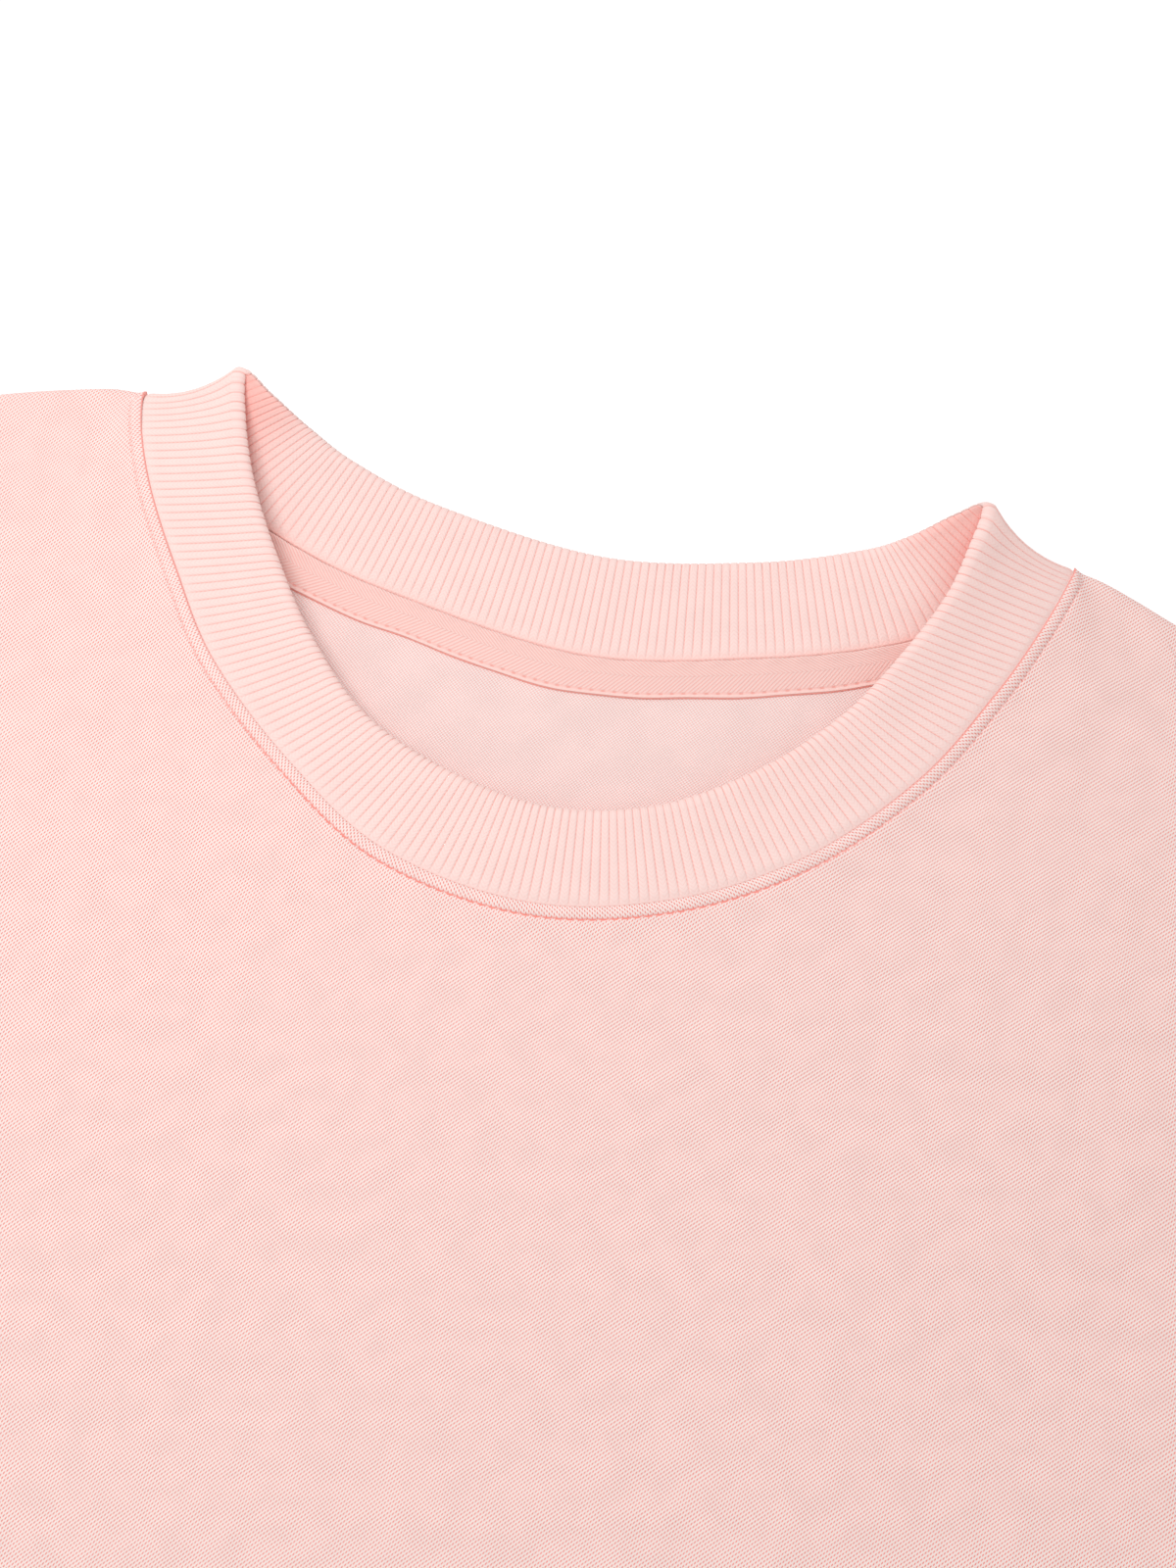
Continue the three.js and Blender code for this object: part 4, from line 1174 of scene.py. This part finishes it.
class MakeStage(bpy.types.Operator):
    """Camera, table and soft light"""
    bl_idname = "sweatshirt.make_stage"
    bl_label = "Stage"

    def execute(self, context):
        add_camera()
        scene = context.scene
        scene.view_settings.view_transform = "Standard"
        world = bpy.data.worlds.new("soft studio")
        world.use_nodes = True
        world.node_tree.nodes["Background"].inputs[0].default_value = (1, 1, 1, 1)
        world.node_tree.nodes["Background"].inputs[1].default_value = WORLD_STRENGTH
        scene.world = world
        neck = (0, NECK_Y * MM, 0)
        add_area_light("softbox", (-0.24, NECK_Y * MM - 0.05, 0.56), neck, 0.4, 1.67)
        table = bmesh.new()
        bmesh.ops.create_grid(table, x_segments=1, y_segments=1, size=6)
        mesh = bpy.data.meshes.new("table")
        table.to_mesh(mesh)
        table.free()
        mesh.materials.append(plain_table(scene.sweatshirt_colours))
        floor = bpy.data.objects.new("table", mesh)
        floor.data.transform(Matrix.Translation((0, 0, -0.0002)))
        scene.collection.objects.link(floor)
        floor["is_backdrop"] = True
        return {"FINISHED"}


# Operators

class MakesPieces:
    """What the operators of the garment's pieces share"""

    def execute(self, context):
        self.make(context.scene.sweatshirt_sizes, context.scene.sweatshirt_colours)
        return {"FINISHED"}


class MakeCollar(MakesPieces, bpy.types.Operator):
    """The ribbed collar, folded double, round the neck"""
    bl_idname = "sweatshirt.make_collar"
    bl_label = "Collar"

    def make(self, sizes, colours):
        collar = cloth_piece("collar_rib", *collar_place(sizes))
        fine = np.linspace(0, STATIONS, SAMPLES)
        so_far = along(middle_point(fine))
        folds = COLLAR_RIBS * np.interp([LEFT_FOLD, RIGHT_FOLD], fine, so_far) / so_far[-1]
        material = rib_knit(colours, "1x1 rib knit, collar", folds)
        # The band is cut twice as high, and lies folded double as one sheet.
        declare(collar, "collar", [material])


class MakeNeckTape(MakesPieces, bpy.types.Operator):
    """The herringbone tape over the back neck seam"""
    bl_idname = "sweatshirt.make_neck_tape"
    bl_label = "Neck tape"

    def make(self, sizes, colours):
        tape = cloth_piece("neck_tape_twill", *tape_place())
        # The tape is cut 10 mm wide, and 2 mm of that go into the seam.
        declare(tape, "neck_tape", [shared(twill, colours)])


class MakeFront(MakesPieces, bpy.types.Operator):
    """The front panel with its neck stitching"""
    bl_idname = "sweatshirt.make_front"
    bl_label = "Front"

    def make(self, sizes, colours):
        neck_length = along(seam_point(np.linspace(RIGHT_FOLD, LEFT_FOLD + STATIONS, SAMPLES))[:, :2])[-1]
        count = round(neck_length / (sizes.stitch / MM))
        edge = TopEdge(RIGHT_FOLD, LEFT_FOLD + STATIONS, 4 * count, 0.9, 8)
        front = cloth_piece("front_knit", *front_place(edge, sizes))
        material = shared(knit_beside_neck, colours, sizes)
        declare(front, "front_body", [material])


class MakeBack(MakesPieces, bpy.types.Operator):
    """The back panel, lying under the rest"""
    bl_idname = "sweatshirt.make_back"
    bl_label = "Back"

    def make(self, sizes, colours):
        edge = TopEdge(RIGHT_FOLD, LEFT_FOLD, 120, 0.9, 3.5)
        back = cloth_piece("back_knit", *back_place(edge))
        materials = [shared(knit_face, colours, sizes), shared(knit_inside, colours)]
        for face in back.data.polygons:
            face.material_index = 1 if face.normal.z > 0.5 else 0
        declare(back, "back_body", materials)


class MakeSleeves(MakesPieces, bpy.types.Operator):
    """Both sleeves, laid flat"""
    bl_idname = "sweatshirt.make_sleeves"
    bl_label = "Sleeves"

    def make(self, sizes, colours):
        for side, sign in (("left", 1), ("right", -1)):
            sleeve = cloth_piece(f"sleeve_{side}_knit", *sleeve_place(sign, sizes))
            declare(sleeve, f"sleeve_{side}", [shared(knit_face, colours, sizes)])


class MakeCuffs(MakesPieces, bpy.types.Operator):
    """Both ribbed cuffs"""
    bl_idname = "sweatshirt.make_cuffs"
    bl_label = "Cuffs"

    def make(self, sizes, colours):
        away, inward = sleeve_axes()
        middle = np.array(SHOULDER_TIP) + away * (SLEEVE_LENGTH + SEAM_GAP) + inward * SLEEVE_END / 2
        for side, sign in (("left", 1), ("right", -1)):
            ends = [(middle + away * down + inward * over) * [sign, 1]
                    for down, over in ((0, -CUFF_SEAM / 2), (0, CUFF_SEAM / 2),
                                       (CUFF_LENGTH, -CUFF_END / 2), (CUFF_LENGTH, CUFF_END / 2))]
            cuff = cloth_piece(f"cuff_{side}_rib", *band_place(*ends, sizes))
            material = shared(rib_knit, colours)
            declare(cuff, f"cuff_{side}", [material])


class MakeHemBand(MakesPieces, bpy.types.Operator):
    """The ribbed band at the hem"""
    bl_idname = "sweatshirt.make_hem_band"
    bl_label = "Hem band"

    def make(self, sizes, colours):
        edge_half, edge_y = HEM_HALF - BAND_TAPER, HEM_Y - BAND_HEIGHT
        ends = [(-HEM_HALF, HEM_Y), (HEM_HALF, HEM_Y), (-edge_half, edge_y), (edge_half, edge_y)]
        hem = cloth_piece("hem_rib", *band_place(*ends, sizes))
        material = shared(rib_knit, colours)
        declare(hem, "hem_band", [material])


OPERATORS = (MakeStage, MakeCollar, MakeNeckTape, MakeFront, MakeBack, MakeSleeves, MakeCuffs, MakeHemBand)


class SweatshirtPanel(bpy.types.Panel):
    """Pieces, sizes and colours of the sweatshirt"""
    bl_idname = "VIEW3D_PT_sweatshirt"
    bl_label = "Sweatshirt"
    bl_space_type = "VIEW_3D"
    bl_region_type = "UI"
    bl_category = "Sweatshirt"

    def draw(self, context):
        for operator in OPERATORS:
            self.layout.operator(operator.bl_idname)
        for settings in (context.scene.sweatshirt_sizes, context.scene.sweatshirt_colours):
            for name in settings.__annotations__:
                self.layout.prop(settings, name)


CLASSES = (SweatshirtSizes, SweatshirtColours, *OPERATORS, SweatshirtPanel)


def register():
    for made in CLASSES:
        bpy.utils.register_class(made)
    bpy.types.Scene.sweatshirt_sizes = bpy.props.PointerProperty(type=SweatshirtSizes)
    bpy.types.Scene.sweatshirt_colours = bpy.props.PointerProperty(type=SweatshirtColours)


def unregister():
    del bpy.types.Scene.sweatshirt_colours
    del bpy.types.Scene.sweatshirt_sizes
    for made in reversed(CLASSES):
        bpy.utils.unregister_class(made)


def main():
    register()
    for operator in OPERATORS:
        getattr(bpy.ops.sweatshirt, operator.bl_idname.split(".")[1])()
    boxes = {"cad_box": CAD_BOX, "visual_box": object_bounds()}
    {name: [list(corner) for corner in box] for name, box in boxes.items()}


if __name__ == "__main__":
    main()
